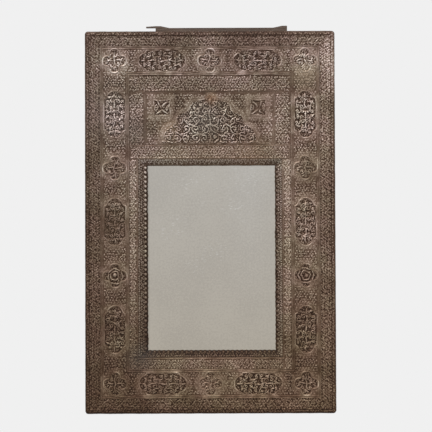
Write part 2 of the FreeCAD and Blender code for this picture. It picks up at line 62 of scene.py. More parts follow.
Colour = tuple[float, float, float]
Spot = tuple[float, float, float]
Share = tuple[float, float]
Patch = tuple[float, float, float, float, float]
Scroll = tuple[float, float, float, float, int]
Array = np.ndarray
Bent = tuple[Array, Array, Array]
Node = bpy.types.Node
Socket = bpy.types.NodeSocket
Material = bpy.types.Material
Mesh = bpy.types.Mesh


class Lie(Enum):
    """Which way a motif, a vine or the grain of a board runs on the face."""

    LEVEL = "level"
    UPRIGHT = "upright"


class Side(Enum):
    """A side of the frame, with the directions along it and outwards on the face (x, z)."""

    TOP = ("top", (1, 0), (0, 1))
    RIGHT = ("right", (0, -1), (1, 0))
    BOTTOM = ("bottom", (-1, 0), (0, -1))
    LEFT = ("left", (0, 1), (-1, 0))

    def __init__(self, label: str, along: tuple[int, int], out: tuple[int, int]) -> None:
        """Keeps the parts of the value under their own names.

        Args:
            label: The side's name.
            along: Which way it runs.
            out: Which way it faces.
        """
        self.label = label
        self.along = np.array(along, float)
        self.out = np.array(out, float)
        self.lie = Lie.UPRIGHT if along[1] else Lie.LEVEL


class Motif(Enum):
    """The outlines that are raised on the bands and the crest panel."""

    CARTOUCHE = "cartouche"
    QUATREFOIL = "quatrefoil"
    BOSS = "boss"
    TILE = "tile"
    ARCH = "arch"


@dataclass(frozen=True)
class Rect:
    """A rectangle on the face of the mirror."""

    left: float
    right: float
    low: float
    high: float

    @classmethod
    def of_node(cls, node: str) -> "Rect":
        """The outline of a node of the frame, seen from the front."""
        low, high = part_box(node)
        return cls(low.x / MM, high.x / MM, low.z / MM, high.z / MM)

    @property
    def width(self) -> float:
        """Its size across."""
        return self.right - self.left

    @property
    def height(self) -> float:
        """Its size upwards."""
        return self.high - self.low

    @property
    def middle(self) -> Share:
        """The point in its middle."""
        return (self.left + self.right) / 2, (self.low + self.high) / 2

    def half(self, direction: Array) -> float:
        """Half its size in a direction along one of its sides."""
        return abs(direction @ (self.width, self.height)) / 2

    def reach(self, direction: Array) -> float:
        """How far it reaches from the face's origin in a direction."""
        return float(max(direction @ (x, z) for x in (self.left, self.right) for z in (self.low, self.high)))

    def trimmed(self, left: float, right: float, low: float, high: float) -> "Rect":
        """The rectangle drawn in on each side by its own distance."""
        return Rect(self.left + left, self.right - right, self.low + low, self.high - high)

    def inset(self, distance: float) -> "Rect":
        """The rectangle drawn in on all sides."""
        return self.trimmed(distance, distance, distance, distance)

    def depth_inside(self, x: Array, z: Array) -> Array:
        """How far points lie inside the nearest side; negative outside."""
        return np.minimum(np.minimum(x - self.left, self.right - x),
                          np.minimum(z - self.low, self.high - z))


@dataclass(frozen=True)
class Layout:
    """Places on the face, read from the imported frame, and the sizes that share it out."""

    edge_band: float = 30.0
    rib_width: float = 3.0
    rib_gap: float = 0.8
    cartouche_field: float = 45.4
    sheet_front: float = -28.8
    wood_back: float = -8.0
    glass_front: float = -19.0
    side_steps: int = 6
    rail_steps: int = 4

    @staticmethod
    def _strips(kind: str) -> tuple[Rect, ...]:
        """The strips of one kind on the left, right, bottom and top."""
        return tuple(Rect.of_node(f"{kind}_{label}") for label in ("left", "right", "bottom", "top"))

    @property
    def outline(self) -> Rect:
        """The outer edge of the clad frame."""
        left, right, bottom, top = self._strips("edge_strip")
        return Rect(left.left, right.right, bottom.low, top.high)

    @property
    def sight(self) -> Rect:
        """The outer edge of the slope round the glass."""
        _, _, bottom, top = self._strips("sight_strip")
        return Rect(top.left, top.right, bottom.low, top.high)

    @property
    def opening(self) -> Rect:
        """The inner edge of the slope round the glass."""
        left, right, bottom, top = self._strips("sight_strip")
        return Rect(left.right, right.left, bottom.high, top.low)

    @property
    def fillet(self) -> float:
        """Width of a double rib."""
        return 2 * self.rib_width + self.rib_gap

    @property
    def band_room(self) -> Share:
        """Where the open field of the cartouche bands starts and ends, from the outer edge."""
        first = self.edge_band + self.fillet
        return first, first + self.cartouche_field

    @property
    def motif_ring(self) -> Rect:
        """The line that the motifs of the cartouche bands are centred on."""
        return self.outline.inset(self.edge_band + self.fillet + self.cartouche_field / 2)


def smooth_bump(distance: Array, half_width: float) -> Array:
    """A rounded ridge of height 1 over a distance from its crest."""
    share = np.clip(np.abs(distance) / half_width, 0, 1)
    return (1 - share ** 2) ** 1.5


def blurred(values: Array, reach: int) -> Array:
    """A map averaged over a square of cells, twice, for a soft result.

    Args:
        values: The map to average.
        reach: Cells taken in on each side.

    Returns:
        The averaged map, as large as the first.
    """
    count = 2 * reach + 1
    for axis in (0, 1, 0, 1):
        margins = [(0, 0), (0, 0)]
        margins[axis] = (reach + 1, reach)
        total = np.cumsum(np.pad(values, margins, mode="edge"), axis=axis)
        ends = np.arange(count, total.shape[axis])
        values = (np.take(total, ends, axis) - np.take(total, ends - count, axis)) / count
    return values


@dataclass(frozen=True)
class Waves:
    """Soft random waves over the face, from about -1 to 1, with their shortest and longest length."""

    seed: int
    shortest: float
    longest: float
    count: int = 12
    crest: float = 5.0

    def over(self, x: Array, z: Array) -> Array:
        """The height of the waves at some places.

        Args:
            x: Places across.
            z: Places upwards.

        Returns:
            One value for each place.
        """
        draws = np.random.default_rng(self.seed)
        total = np.zeros(np.shape(x))
        for _ in range(self.count):
            angle, phase = draws.uniform(0, math.pi), draws.uniform(0, FULL_TURN)
            length = draws.uniform(self.shortest, self.longest)
            total += np.sin(FULL_TURN * (x * math.cos(angle) + z * math.sin(angle)) / length + phase)
        return total / self.crest


def turned(points: Array, lie: Lie) -> Array:
    """Points that were drawn level, turned up by a quarter where they are to stand upright."""
    return np.column_stack([-points[:, 1], points[:, 0]]) if lie is Lie.UPRIGHT else points


def arc_through(start: Share, middle: Share, end: Share, count: int = 9) -> Array:
    """Points on the arc through three points, the last left out.

    Args:
        start: First point.
        middle: A point between them.
        end: Last point.
        count: How many points to give.

    Returns:
        One row of x and z for each point.
    """
    a, b, c = (np.array(point, float) for point in (start, middle, end))
    rows = 2 * np.array([b - a, c - a])
    centre = np.linalg.solve(rows, np.array([b @ b - a @ a, c @ c - a @ a]))
    first, halfway, last = (math.atan2(*(point - centre)[::-1]) for point in (a, b, c))
    sweep = (last - first) % FULL_TURN
    if (halfway - first) % FULL_TURN > sweep:
        sweep -= FULL_TURN
    angles = first + sweep * np.arange(count) / count
    radius = np.linalg.norm(a - centre)
    return centre + radius * np.column_stack([np.cos(angles), np.sin(angles)])


def signed_distance(outline: Array, x: Array, z: Array) -> Array:
    """Distances of points to a closed outline, negative inside it.

    Args:
        outline: Corner points, one row each.
        x: Places across.
        z: Places upwards.

    Returns:
        One distance for each point.
    """
    nearest = np.full(x.shape, np.inf)
    inside = np.zeros(x.shape, bool)
    for (ax, az), (bx, bz) in zip(outline, np.roll(outline, -1, axis=0)):
        run_x, run_z = bx - ax, bz - az
        square = max(run_x ** 2 + run_z ** 2, 1e-12)
        share = np.clip(((x - ax) * run_x + (z - az) * run_z) / square, 0, 1)
        nearest = np.minimum(nearest, np.hypot(x - ax - share * run_x, z - az - share * run_z))
        if az != bz:
            inside ^= ((az > z) != (bz > z)) & (x < run_x * (z - az) / (bz - az) + ax)
    return np.where(inside, -nearest, nearest)


@dataclass
class PunchWork:
    """Marks of a rounded punch: rows of x, z, radius and height."""

    rows: list[Array] = field(default_factory=list)
    spacing: float = 0.45
    scroll_steps: int = 40
    wind_in: float = 0.80
    thinning: float = 0.25
    eye: float = 1.55
    leaf_steps: int = 14
    leaf_swell: float = 0.8
    leaf_end: float = 0.35

    @property
    def marks(self) -> Array:
        """All marks in one table."""
        return np.concatenate(self.rows) if self.rows else np.empty((0, 4))

    def dot(self, x: float, z: float, radius: float, height: float) -> None:
        """Strikes one round mark."""
        self.rows.append(np.array([[x, z, radius, height]]))

    def stroke(self, points: Array, radii: Array, height: float) -> None:
        """Draws the punch along a line of points.

        Args:
            points: The line, one row of x and z for each point.
            radii: The radius of the mark at each point.
            height: How far the stroke stands up where it is widest.
        """
        runs = np.hypot(*np.diff(points, axis=0).T)
        along = np.concatenate([[0], np.cumsum(runs)])
        count = max(2, int(along[-1] / (self.spacing * radii.mean())))
        places = np.linspace(0, along[-1], count)
        radius = np.interp(places, along, radii)
        rise = height * (radius / radii.max()) ** 0.5
        self.rows.append(np.column_stack([
            np.interp(places, along, points[:, 0]), np.interp(places, along, points[:, 1]), radius, rise]))

    def spiral(self, centre: Share, radius: float, turns: float, start: float, hand: int,
               stroke: float, height: float) -> None:
        """Draws a scroll that winds in to a round eye.

        Args:
            centre: Middle of the scroll.
            radius: Reach of its outer end.
            turns: How often it winds round.
            start: Angle of its outer end.
            hand: 1 to wind to the left, -1 to the right.
            stroke: Radius of the line at its outer end.
            height: How far it stands up.
        """
        share = np.linspace(0, 1, self.scroll_steps)
        angle = start + hand * turns * FULL_TURN * share
        reach = radius * (1 - self.wind_in * share)
        points = np.column_stack([centre[0] + reach * np.cos(angle), centre[1] + reach * np.sin(angle)])
        self.stroke(points, stroke * (1 - self.thinning * share), height)
        self.dot(*points[-1], self.eye * stroke, height)

    def leaf(self, root: Share, tip: Share, width: float, bow: float, height: float) -> None:
        """Draws a leaf that swells between its root and its tip.

        Args:
            root: Where it springs from.
            tip: Where it ends.
            width: Its greatest width.
            bow: How far its middle bends to the left, as a share of its length.
            height: How far it stands up.
        """
        share = np.linspace(0, 1, self.leaf_steps)
        run = np.subtract(tip, root)
        across = np.array([-run[1], run[0]])
        points = np.array(root) + np.outer(share, run) + np.outer(np.sin(math.pi * share) * bow, across)
        swell = np.sin(math.pi * share ** self.leaf_swell) ** self.leaf_swell
        self.stroke(points, width / 2 * (self.leaf_end + (1 - self.leaf_end) * swell), height)

    def vary(self, seed: int, share: float) -> None:
        """Makes the blows uneven.

        Args:
            seed: Start of the random draws.
            share: Greatest change of a height, as a share of it.
        """
        marks = self.marks
        marks[:, 3] *= np.random.default_rng(seed).uniform(1 - share, 1 + share, len(marks))
        self.rows = [marks]

    def place(self, other: "PunchWork", x: float = 0.0, z: float = 0.0, lie: Lie = Lie.LEVEL,
              flips: Share = (1, 1)) -> None:
        """Adds another set of marks, moved and turned.

        Args:
            other: Marks drawn round their own middle, lying level.
            x: Where that middle goes.
            z: Where that middle goes.
            lie: UPRIGHT turns the set up by a quarter.
            flips: -1 mirrors the set along its own first or second axis.
        """
        marks = other.marks.copy()
        marks[:, :2] *= flips
        marks[:, :2] = turned(marks[:, :2], lie) + (x, z)
        self.rows.append(marks)


@dataclass(frozen=True)
class Ornament:
    """The traditional motifs: their outlines, foliage fills, vines and ground.

    Places in the tables and drawings are shares of a motif's half length and half width, and of the
    arch's half width and height. Widths of leaves are in radii of the punch.
    """

    line: float = 1.5
    cartouche_line: float = 1.15
    line_height: float = 1.8
    vine_line: float = 0.95
    vine_height: float = 0.85
    ground_line: float = 0.9
    ground_height: float = 0.8
    dotting: float = 1.9
    unevenness: float = 0.45
    boss_rings: Share = (0.42, 0.70)
    boss_steps: int = 36
    cartouche_shares: tuple[Share, ...] = (
        (1.0, 0.0), (0.955, 0.40), (0.84, 0.65), (0.735, 0.76), (0.68, 1.0))
    foil_shares: tuple[Share, ...] = ((1.0, 0.0), (0.86, 0.37), (0.53, 0.48), (0.56, 0.56))
    tile_shares: tuple[Share, ...] = ((0.88, 0.0), (0.94, 0.3), (1.0, 1.0), (0.3, 0.94), (0.0, 0.88))
    arch_shares: tuple[tuple[Share, ...], ...] = (
        ((1.0, 0.0),), ((0.91, 0.09), (0.88, 0.25)), ((0.76, 0.36),), ((0.67, 0.43), (0.64, 0.56)),
        ((0.50, 0.635),), ((0.42, 0.685), (0.36, 0.82)), ((0.22, 0.885), (0.085, 0.925)), ((0.0, 1.0),))
    cartouche_scrolls: tuple[Scroll, ...] = (
        (0.125, 0.27, 0.23, 1.1, 1), (0.350, 0.27, 0.23, 1.1, -1), (0.575, 0.27, 0.23, 1.1, 1),
        (0.790, 0.20, 0.19, 0.9, -1), (0.125, 0.74, 0.22, 1.1, -1), (0.350, 0.74, 0.22, 1.1, 1),
        (0.575, 0.73, 0.20, 1.0, -1), (0.770, 0.58, 0.15, 0.9, 1))
    arch_scrolls: tuple[Scroll, ...] = (
        (0.105, 0.115, 0.085, 1.25, 1), (0.290, 0.115, 0.085, 1.25, -1), (0.475, 0.115, 0.085, 1.25, 1),
        (0.660, 0.115, 0.085, 1.25, -1), (0.815, 0.115, 0.070, 1.2, 1), (0.105, 0.305, 0.085, 1.25, -1),
        (0.290, 0.305, 0.085, 1.25, 1), (0.475, 0.305, 0.085, 1.25, -1), (0.640, 0.295, 0.072, 1.2, 1),
        (0.780, 0.260, 0.050, 0.9, -1), (0.105, 0.490, 0.085, 1.25, 1), (0.285, 0.485, 0.080, 1.25, -1),
        (0.445, 0.475, 0.070, 1.2, 1), (0.580, 0.480, 0.048, 0.9, -1), (0.105, 0.665, 0.075, 1.2, -1),
        (0.255, 0.648, 0.065, 1.1, 1), (0.375, 0.615, 0.045, 0.9, -1), (0.085, 0.815, 0.052, 1.0, 1),
        (0.205, 0.785, 0.050, 1.0, -1), (0.300, 0.750, 0.036, 0.8, 1))

    def outline(self, motif: Motif) -> Array:
        """The outline of a motif, in shares of its size.

        Args:
            motif: Which outline.

        Returns:
            Corner points, one row each.
        """
        if motif is Motif.ARCH:
            stops = [start for start, *_ in self.arch_shares]
            right = np.concatenate([
                arc_through(start, *bulge, end) if bulge else [start]
                for (start, *bulge), end in zip(self.arch_shares, stops[1:] + stops[-1:])])
            return np.concatenate([right, (right * (-1, 1))[-2::-1]])
        if motif is Motif.TILE:
            return self._mirrored(np.array(self.tile_shares))
        if motif is Motif.CARTOUCHE:
            tip, lobe, waist, hollow, corner = self.cartouche_shares
            return self._mirrored(np.concatenate([
                arc_through(tip, lobe, waist), arc_through(waist, hollow, corner), [corner]]))
        tip, lobe, root, barb = self.foil_shares
        eighth = np.concatenate([arc_through(tip, lobe, root), [root]])
        return self._mirrored(np.concatenate([eighth, [barb], eighth[::-1, ::-1]]))

    @staticmethod
    def _mirrored(quarter: Array) -> Array:
        """A whole outline from its first quarter, by mirroring it twice."""
        half = np.concatenate([quarter, (quarter * (-1, 1))[::-1]])
        return np.concatenate([half, (half * (1, -1))[-2:0:-1]])

    def fill(self, motif: Motif, size: Array) -> PunchWork:
        """What fills a motif, drawn round the motif's own middle or foot.

        Args:
            motif: Which motif to fill.
            size: Its half length and half width, or the arch's half width and height.

        Returns:
            The marks of the fill.
        """
        makers: dict[Motif, Callable[[Array], PunchWork]] = {
            Motif.CARTOUCHE: self._cartouche_fill, Motif.QUATREFOIL: self._foil_fill,
            Motif.BOSS: self._boss_fill, Motif.TILE: self._tile_fill, Motif.ARCH: self._arch_fill}
        return makers[motif](size)

    def _scrolls(self, table: Iterable[Scroll], size: Array, line: float) -> PunchWork:
        """Scrolls with a stem and a leaf each.

        Args:
            table: Rows of place along, place across, radius as a share of the half width, turns
                and hand.
            size: The lengths that the places along and across are shares of.
            line: Radius of the punch.

        Returns:
            The marks of the scrolls.
        """
        work = PunchWork()
        for along, across, radius_share, turns, hand in table:
            x, z = size * (along, across)
            radius = radius_share * size[1]
            start = -QUARTER_TURN if hand > 0 else 3 * QUARTER_TURN
            work.spiral((x, z), radius, turns, start, hand, line, self.line_height)
            foot = (x, z - radius)
            root = (x - hand * 1.25 * radius, max(foot[1] - 0.18 * radius, 0.0))
            work.leaf(root, foot, 1.9 * line, -0.16 * hand, self.line_height)
            crown = (x + hand * 0.80 * radius, z + 0.62 * radius)
            sprig = (x + hand * 1.18 * radius, z + 1.02 * radius)
            work.leaf(crown, sprig, 2.2 * line, 0.2 * hand, self.line_height)
        return work

    def _cartouche_fill(self, size: Array) -> PunchWork:
        """Four mirrored sets of scrolls about a stem along the middle; see fill."""
        line, rise = self.cartouche_line, self.line_height
        quarter = self._scrolls(self.cartouche_scrolls, size, line)
        work = PunchWork()
        for flips in FOUR_WAYS:
            work.place(quarter, flips=flips)
        reach = 0.70
        work.stroke(size * [(-reach, 0.0), (reach, 0.0)], np.full(2, 0.9 * line), rise)
        for end in (-1, 1):
            work.leaf(size * (end * reach, 0.0), size * (end * 0.93, 0.0), 3.4 * line, 0.0, rise)
        work.dot(0.0, 0.0, 2.2 * line, 1.2 * rise)
        return work

    def _foil_fill(self, size: Array) -> PunchWork:
        """A rosette: an upright stem, with a leaf between two curls on either side; see fill."""
        line, rise = self.line, self.line_height
        small = 0.8 * rise
        half = PunchWork()
        for hand in (1, -1):
            half.spiral(size * (0.36, hand * 0.36), 0.25 * size[0], 1.15, math.pi, -hand, 0.85 * line, small)
        half.leaf(size * (0.10, 0.0), size * (0.86, 0.0), 2.0 * line, 0.1, rise)
        for lean in (1, -1):
            half.leaf(size * (0.62, lean * 0.10), size * (0.80, lean * 0.30), 1.7 * line, 0.2, small)
            half.leaf(size * (0.10, lean * 0.58), size * (0.30, lean * 0.78), 1.7 * line, -0.2, small)
        work = PunchWork()
        for flip in (1, -1):
            work.place(half, flips=(flip, 1))
        work.leaf(size * (0.0, -0.92), size * (0.0, 0.92), 2.3 * line, 0.0, rise)
        return work

    def _boss_fill(self, size: Array) -> PunchWork:
        """A round boss in two rings; see fill."""
        work = PunchWork()
        turn = np.linspace(0, FULL_TURN, self.boss_steps + 1)
        circle = size * np.column_stack([np.cos(turn), np.sin(turn)])
        work.dot(0.0, 0.0, 0.20 * size[0], 1.2 * self.line_height)
        for reach in self.boss_rings:
            work.stroke(reach * circle, np.full(len(turn), 0.9 * self.line), 0.8 * self.line_height)
        return work

    def _tile_fill(self, size: Array) -> PunchWork:
        """Four leaves to the corners with a curl beside each; see fill."""
        rise = 0.6 * self.line_height
        quarter = PunchWork()
        quarter.leaf(size * (0.08, 0.08), size * (0.84, 0.84), 2.2 * self.line, 0.12, rise)
        quarter.spiral(size * (0.62, 0.16), 0.26 * size[0], 0.9, 1.2, -1, 0.8 * self.line, rise)
        work = PunchWork()
        for flips in FOUR_WAYS:
            work.place(quarter, flips=flips)
        return work

    def _arch_fill(self, size: Array) -> PunchWork:
        """A tree of mirrored scrolls on an upright stem; see fill."""
        line, rise = self.line, self.line_height
        side = self._scrolls(self.arch_scrolls, size, line)
        work = PunchWork()
        for flip in (1, -1):
            work.place(side, flips=(flip, 1))
        work.stroke(size * [(0.0, 0.03), (0.0, 0.84)], np.full(2, line), rise)
        work.leaf(size * (0.0, 0.82), size * (0.0, 0.955), 4.0 * line, 0.0, rise)
        for end in (1, -1):
            work.leaf(size * (end * 0.86, 0.05), size * (end * 0.97, 0.035), 2.6 * line, 0.0, rise)
        return work

    def vine(self, length: float, width: float) -> PunchWork:
        """A running vine with a scroll in each bend, drawn level round its middle.

        Args:
            length: How far it runs.
            width: Room for it across.

        Returns:
            The marks of the vine.
        """
        line, rise = self.vine_line, self.vine_height
        work = PunchWork(spacing=self.dotting)
        count = max(2, 2 * round(length / (1.9 * width)))
        bend = length / count
        along = np.linspace(-length / 2, length / 2, 16 * count + 1)
        wave = 0.36 * width * np.sin(math.pi * (along + length / 2) / bend)
        work.stroke(np.column_stack([along, wave]), np.full(len(along), line), rise)
        for index in range(count):
            side = 1 if index % 2 == 0 else -1
            middle = (index + 0.5) * bend - length / 2
            work.spiral((middle, -0.10 * side * width), min(0.30 * width, 0.40 * bend), 1.35,
                        math.pi, side, line, rise)
            for lean in (-1, 1):
                root = (middle + lean * 0.36 * bend, side * 0.20 * width)
                tip = (middle + lean * 0.52 * bend, side * 0.47 * width)
                work.leaf(root, tip, 2.6 * line, -0.18 * lean * side, rise)
            work.dot(middle, -side * 0.46 * width, 1.2 * line, rise)
        work.vary(count, self.unevenness)
        return work

    def ground(self, area: Rect, pitch: float, seed: int) -> PunchWork:
        """Small curls and dots strewn over a ground, at a jittered even step.

        Args:
            area: Where to strew them.
            pitch: Step between neighbours.
            seed: Start of the random draws.

        Returns:
            The marks of the ground.
        """
        draws = np.random.default_rng(seed)
        work = PunchWork(spacing=self.dotting)
        for row, z in enumerate(np.arange(area.low, area.high, 0.87 * pitch)):
            for x in np.arange(area.left + (row % 2) * pitch / 2, area.right, pitch):
                middle = draws.normal((x, z), 0.10 * pitch)
                start, reach = draws.uniform(0, FULL_TURN), draws.uniform(0.32, 0.44) * pitch
                hand = 1 if draws.random() < 0.5 else -1
                work.spiral(tuple(middle), reach, 0.7, start, hand, self.ground_line, self.ground_height)
                dot = middle + 0.62 * pitch * np.array([math.cos(start), math.sin(start)])
                work.dot(*dot, draws.uniform(0.8, 1.2) * self.ground_line, self.ground_height)
        work.vary(seed, self.unevenness)
        return work


@dataclass(frozen=True)
class Patina:
    """Soft patches on the face, each with its place x, z, its two reaches, and a strength.

    Attributes:
        rubbed: Where hands and cloths have rubbed the sheet pale; the first patch, at the top right corner,
            also paints a pale sheen there.
        smoked: Where it has gone dark.
        polished: Where the raised work is brighter, or duller, against its ground than elsewhere.
    """

    rubbed: tuple[Patch, ...] = (
        (244, 374, 22, 44, 0.30), (189, 393, 15, 15, 0.09), (-83, 256, 20, 18, 0.08),
        (-238, 325, 32, 90, 0.10), (150, 285, 34, 55, 0.12), (150, 130, 30, 60, 0.14),
        (195, -50, 36, 36, 0.09), (20, -238, 62, 36, 0.13), (-172, 150, 24, 40, 0.11),
        (90, 270, 36, 34, 0.08), (-170, 372, 22, 32, 0.12), (195, 374, 32, 26, 0.11),
        (226, 275, 24, 50, 0.09), (-158, 290, 18, 34, 0.09), (-150, 247, 26, 16, 0.08),
        (-206, 247, 14, 18, 0.07), (84, 215, 24, 12, 0.10), (190, 60, 34, 40, 0.05),
        (147, -295, 24, 18, 0.07), (-105, -247, 34, 16, 0.08), (191, 185, 24, 24, 0.06),
        (0, -246, 24, 22, 0.05), (240, 432, 18, 22, 0.11), (240, 392, 16, 24, 0.05))
    smoked: tuple[Patch, ...] = (
        (-92, 402, 46, 32, 0.22), (92, 402, 40, 32, 0.17), (-6, 315, 40, 34, 0.11),
        (-204, -205, 48, 75, 0.16), (160, -205, 40, 44, 0.13), (-192, -105, 32, 30, 0.08),
        (-196, 80, 28, 52, 0.11), (-115, -225, 46, 34, 0.09), (190, 340, 28, 26, 0.15),
        (-198, 345, 20, 26, 0.09), (148, -168, 20, 26, 0.12), (-205, 430, 40, 20, 0.08),
        (83, 372, 22, 14, 0.08), (6, 279, 26, 20, 0.07), (180, -8, 18, 20, 0.06), (191, -34, 9, 9, 0.10),
        (-190, -296, 60, 20, 0.06), (208, -180, 20, 34, 0.05), (-140, -200, 14, 14, 0.05),
        (95, -248, 36, 18, 0.05), (95, 394, 36, 18, 0.03), (242, 303, 18, 24, 0.05),
        (-100, 309, 18, 16, 0.05))
    polished: tuple[Patch, ...] = (
        (-190, 287, 34, 60, 0.62), (190, 287, 34, 60, 0.40), (95, -250, 50, 26, 0.30),
        (-10, 270, 70, 40, 0.32), (-95, 394, 50, 28, 0.28), (95, 394, 50, 28, 0.32),
        (-140, 60, 20, 120, 0.20), (97, 302, 22, 20, -0.40), (0, -246, 26, 24, -0.40),
        (0, 393, 22, 20, -0.20), (-188, 185, 26, 24, -0.35), (191, 185, 26, 24, -0.35),
        (-100, -247, 44, 22, -0.28), (238, 400, 18, 40, -0.30))

    def tone(self, x: Array, z: Array) -> Array:
        """How far the ground at some places is lifted or lowered."""
        return self._patches(self.rubbed, x, z) - self._patches(self.smoked, x, z)

    def polish(self, x: Array, z: Array) -> Array:
        """How much brighter than elsewhere the raised work is at some places."""
        return self._patches(self.polished, x, z)

    @staticmethod
    def _patches(patches: Iterable[Patch], x: Array, z: Array) -> Array:
        """The strength of all patches together at some places.

        Args:
            patches: The patches to add up.
            x: Places across.
            z: Places upwards.

        Returns:
            One value for each place.
        """
        total = np.zeros(np.shape(x))
        for middle_x, middle_z, reach_x, reach_z, strength in patches:
            total += strength * np.exp(-((x - middle_x) / reach_x) ** 2 - ((z - middle_z) / reach_z) ** 2)
        return total


class Relief:
    """A height map of one sheet that ribs, rims and punches are struck into."""

    wear_reach: float = 2.6
    bright_gain: float = 0.55
    dark_gain: float = 0.46
    wear_step: float = 0.34
    ground_tone: float = 0.365
    plain_polish: float = 0.92
    crossing: float = 0.5
    rib_clearing: float = 0.4
    wobble: float = 0.7
    blotch: float = 0.05
    hand_waves: tuple[Waves, Waves] = (Waves(1, 20.0, 90.0), Waves(2, 20.0, 90.0))
    blotch_waves: Waves = Waves(3, 22.0, 120.0)
    dent_waves: Share = (17.0, 60.0)

    def __init__(self, area: Rect, pitch: float) -> None:
        """Lays out the map.

        Args:
            area: The sheet, along it and across it.
            pitch: Size of a cell.
        """
        self.area = area
        self.columns = round(area.width / pitch) + 1
        self.rows = round(area.height / pitch) + 1
        self.x, self.z = np.meshgrid(np.linspace(area.left, area.right, self.columns),
                                     np.linspace(area.low, area.high, self.rows))
        self.step_x = area.width / (self.columns - 1)
        self.step_z = area.height / (self.rows - 1)
        self.form, self.punched, self.ribbed = (np.zeros(self.x.shape) for _ in range(3))
        self.polish = np.full(self.x.shape, self.plain_polish)
        self.tone = self.ground_tone + self.blotch * self.blotch_waves.over(self.x, self.z)
        stray_x, stray_z = (self.wobble * waves.over(self.x, self.z) for waves in self.hand_waves)
        self.hand_x, self.hand_z = self.x + stray_x, self.z + stray_z

    @property
    def height(self) -> Array:
        """How far the sheet stands out at each cell."""
        lower, higher = np.minimum(self.punched, self.ribbed), np.maximum(self.punched, self.ribbed)
        return self.form + higher + self.crossing * lower

    @property
    def wear(self) -> Array:
        """How bright each cell is rubbed: 0 in a dark hollow, 1 on a bare ridge."""
        worked = self.form + self.punched
        reach = max(1, round(self.wear_reach / self.step_x))
        proud = np.tanh((worked - blurred(worked, reach)) / self.wear_step)
        gain = self.polish * np.where(proud > 0, self.bright_gain, self.dark_gain)
        return np.clip(self.tone + gain * proud, 0, 1)

    def strike(self, marks: Array) -> None:
        """Raises a rounded mark at each row of x, z, radius and height.

        Args:
            marks: The rows of marks.
        """
        if not len(marks):
            return
        x, z, radius, rise = marks.T
        home_column = np.rint((x - self.area.left) / self.step_x).astype(int)
        home_row = np.rint((z - self.area.low) / self.step_z).astype(int)
        reach_x = math.ceil(radius.max() / self.step_x)
        reach_z = math.ceil(radius.max() / self.step_z)
        for row_step in range(-reach_z, reach_z + 1):
            for column_step in range(-reach_x, reach_x + 1):
                rows, columns = home_row + row_step, home_column + column_step
                share = ((self.area.left + columns * self.step_x - x) ** 2
                         + (self.area.low + rows * self.step_z - z) ** 2) / radius ** 2
                on_sheet = (rows >= 0) & (rows < self.rows) & (columns >= 0) & (columns < self.columns)
                hit = (share < 1) & on_sheet
                height = rise * np.sqrt(np.abs(1 - share))
                np.maximum.at(self.punched, (rows[hit], columns[hit]), height[hit])

    def rib(self, distance: Array, first: float, width: float, height: float) -> None:
        """Raises a rib along the line where a distance runs from first to first plus width.

        Args:
            distance: Distance of each cell from the line that the rib follows.
            first: Where on those distances the rib starts.
            width: Its width.
            height: How far it stands up.
        """
        ridge = smooth_bump(distance - first - width / 2, width / 2)
        self.punched *= 1 - self.rib_clearing * ridge
        self.ribbed = np.maximum(self.ribbed, height * ridge)

    def dent(self, seed: int, depth: float) -> None:
        """Adds the soft unevenness of hand-beaten sheet.

        Args:
            seed: Start of the random draws.
            depth: Greatest rise of the unevenness.
        """
        swell = Waves(seed, *self.dent_waves).over(self.x, self.z)
        self.form += depth * (0.5 + 0.5 * swell).clip(0, 1)

    def sample(self, values: Array, x: Array, z: Array) -> Array:
        """Values of a map at any points, worked out between its cells.

        Args:
            values: A map of this sheet.
            x: Places along the sheet.
            z: Places across it.

        Returns:
            One value for each point.
        """
        last = 1.001
        column = np.clip((x - self.area.left) / self.step_x, 0, self.columns - last)
        row = np.clip((z - self.area.low) / self.step_z, 0, self.rows - last)
        c, r = column.astype(int), row.astype(int)
        u, v = column - c, row - r
        return ((values[r, c] * (1 - u) + values[r, c + 1] * u) * (1 - v)
                + (values[r + 1, c] * (1 - u) + values[r + 1, c + 1] * u) * v)


class SheetForm(Protocol):
    """The surface that a sheet is bent to."""

    def place(self, share: Array, across: Array) -> Bent:
        """Where points of the flat sheet come to lie.

        Args:
            share: Places along the sheet, from 0 to 1.
            across: Places across it, as in its relief.

        Returns:
            Points, outward directions, and places along the relief.
        """


@dataclass(frozen=True)
class FlatForm:
    """A flat sheet on the face of the wood."""

    area: Rect
    front: float

    def place(self, share: Array, across: Array) -> Bent:
        """Lays the sheet flat on the face; see SheetForm."""
        along = self.area.left + share * self.area.width
        points = np.column_stack([along, np.full(len(share), self.front), across])
        return points, np.tile((0.0, -1.0, 0.0), (len(share), 1)), along


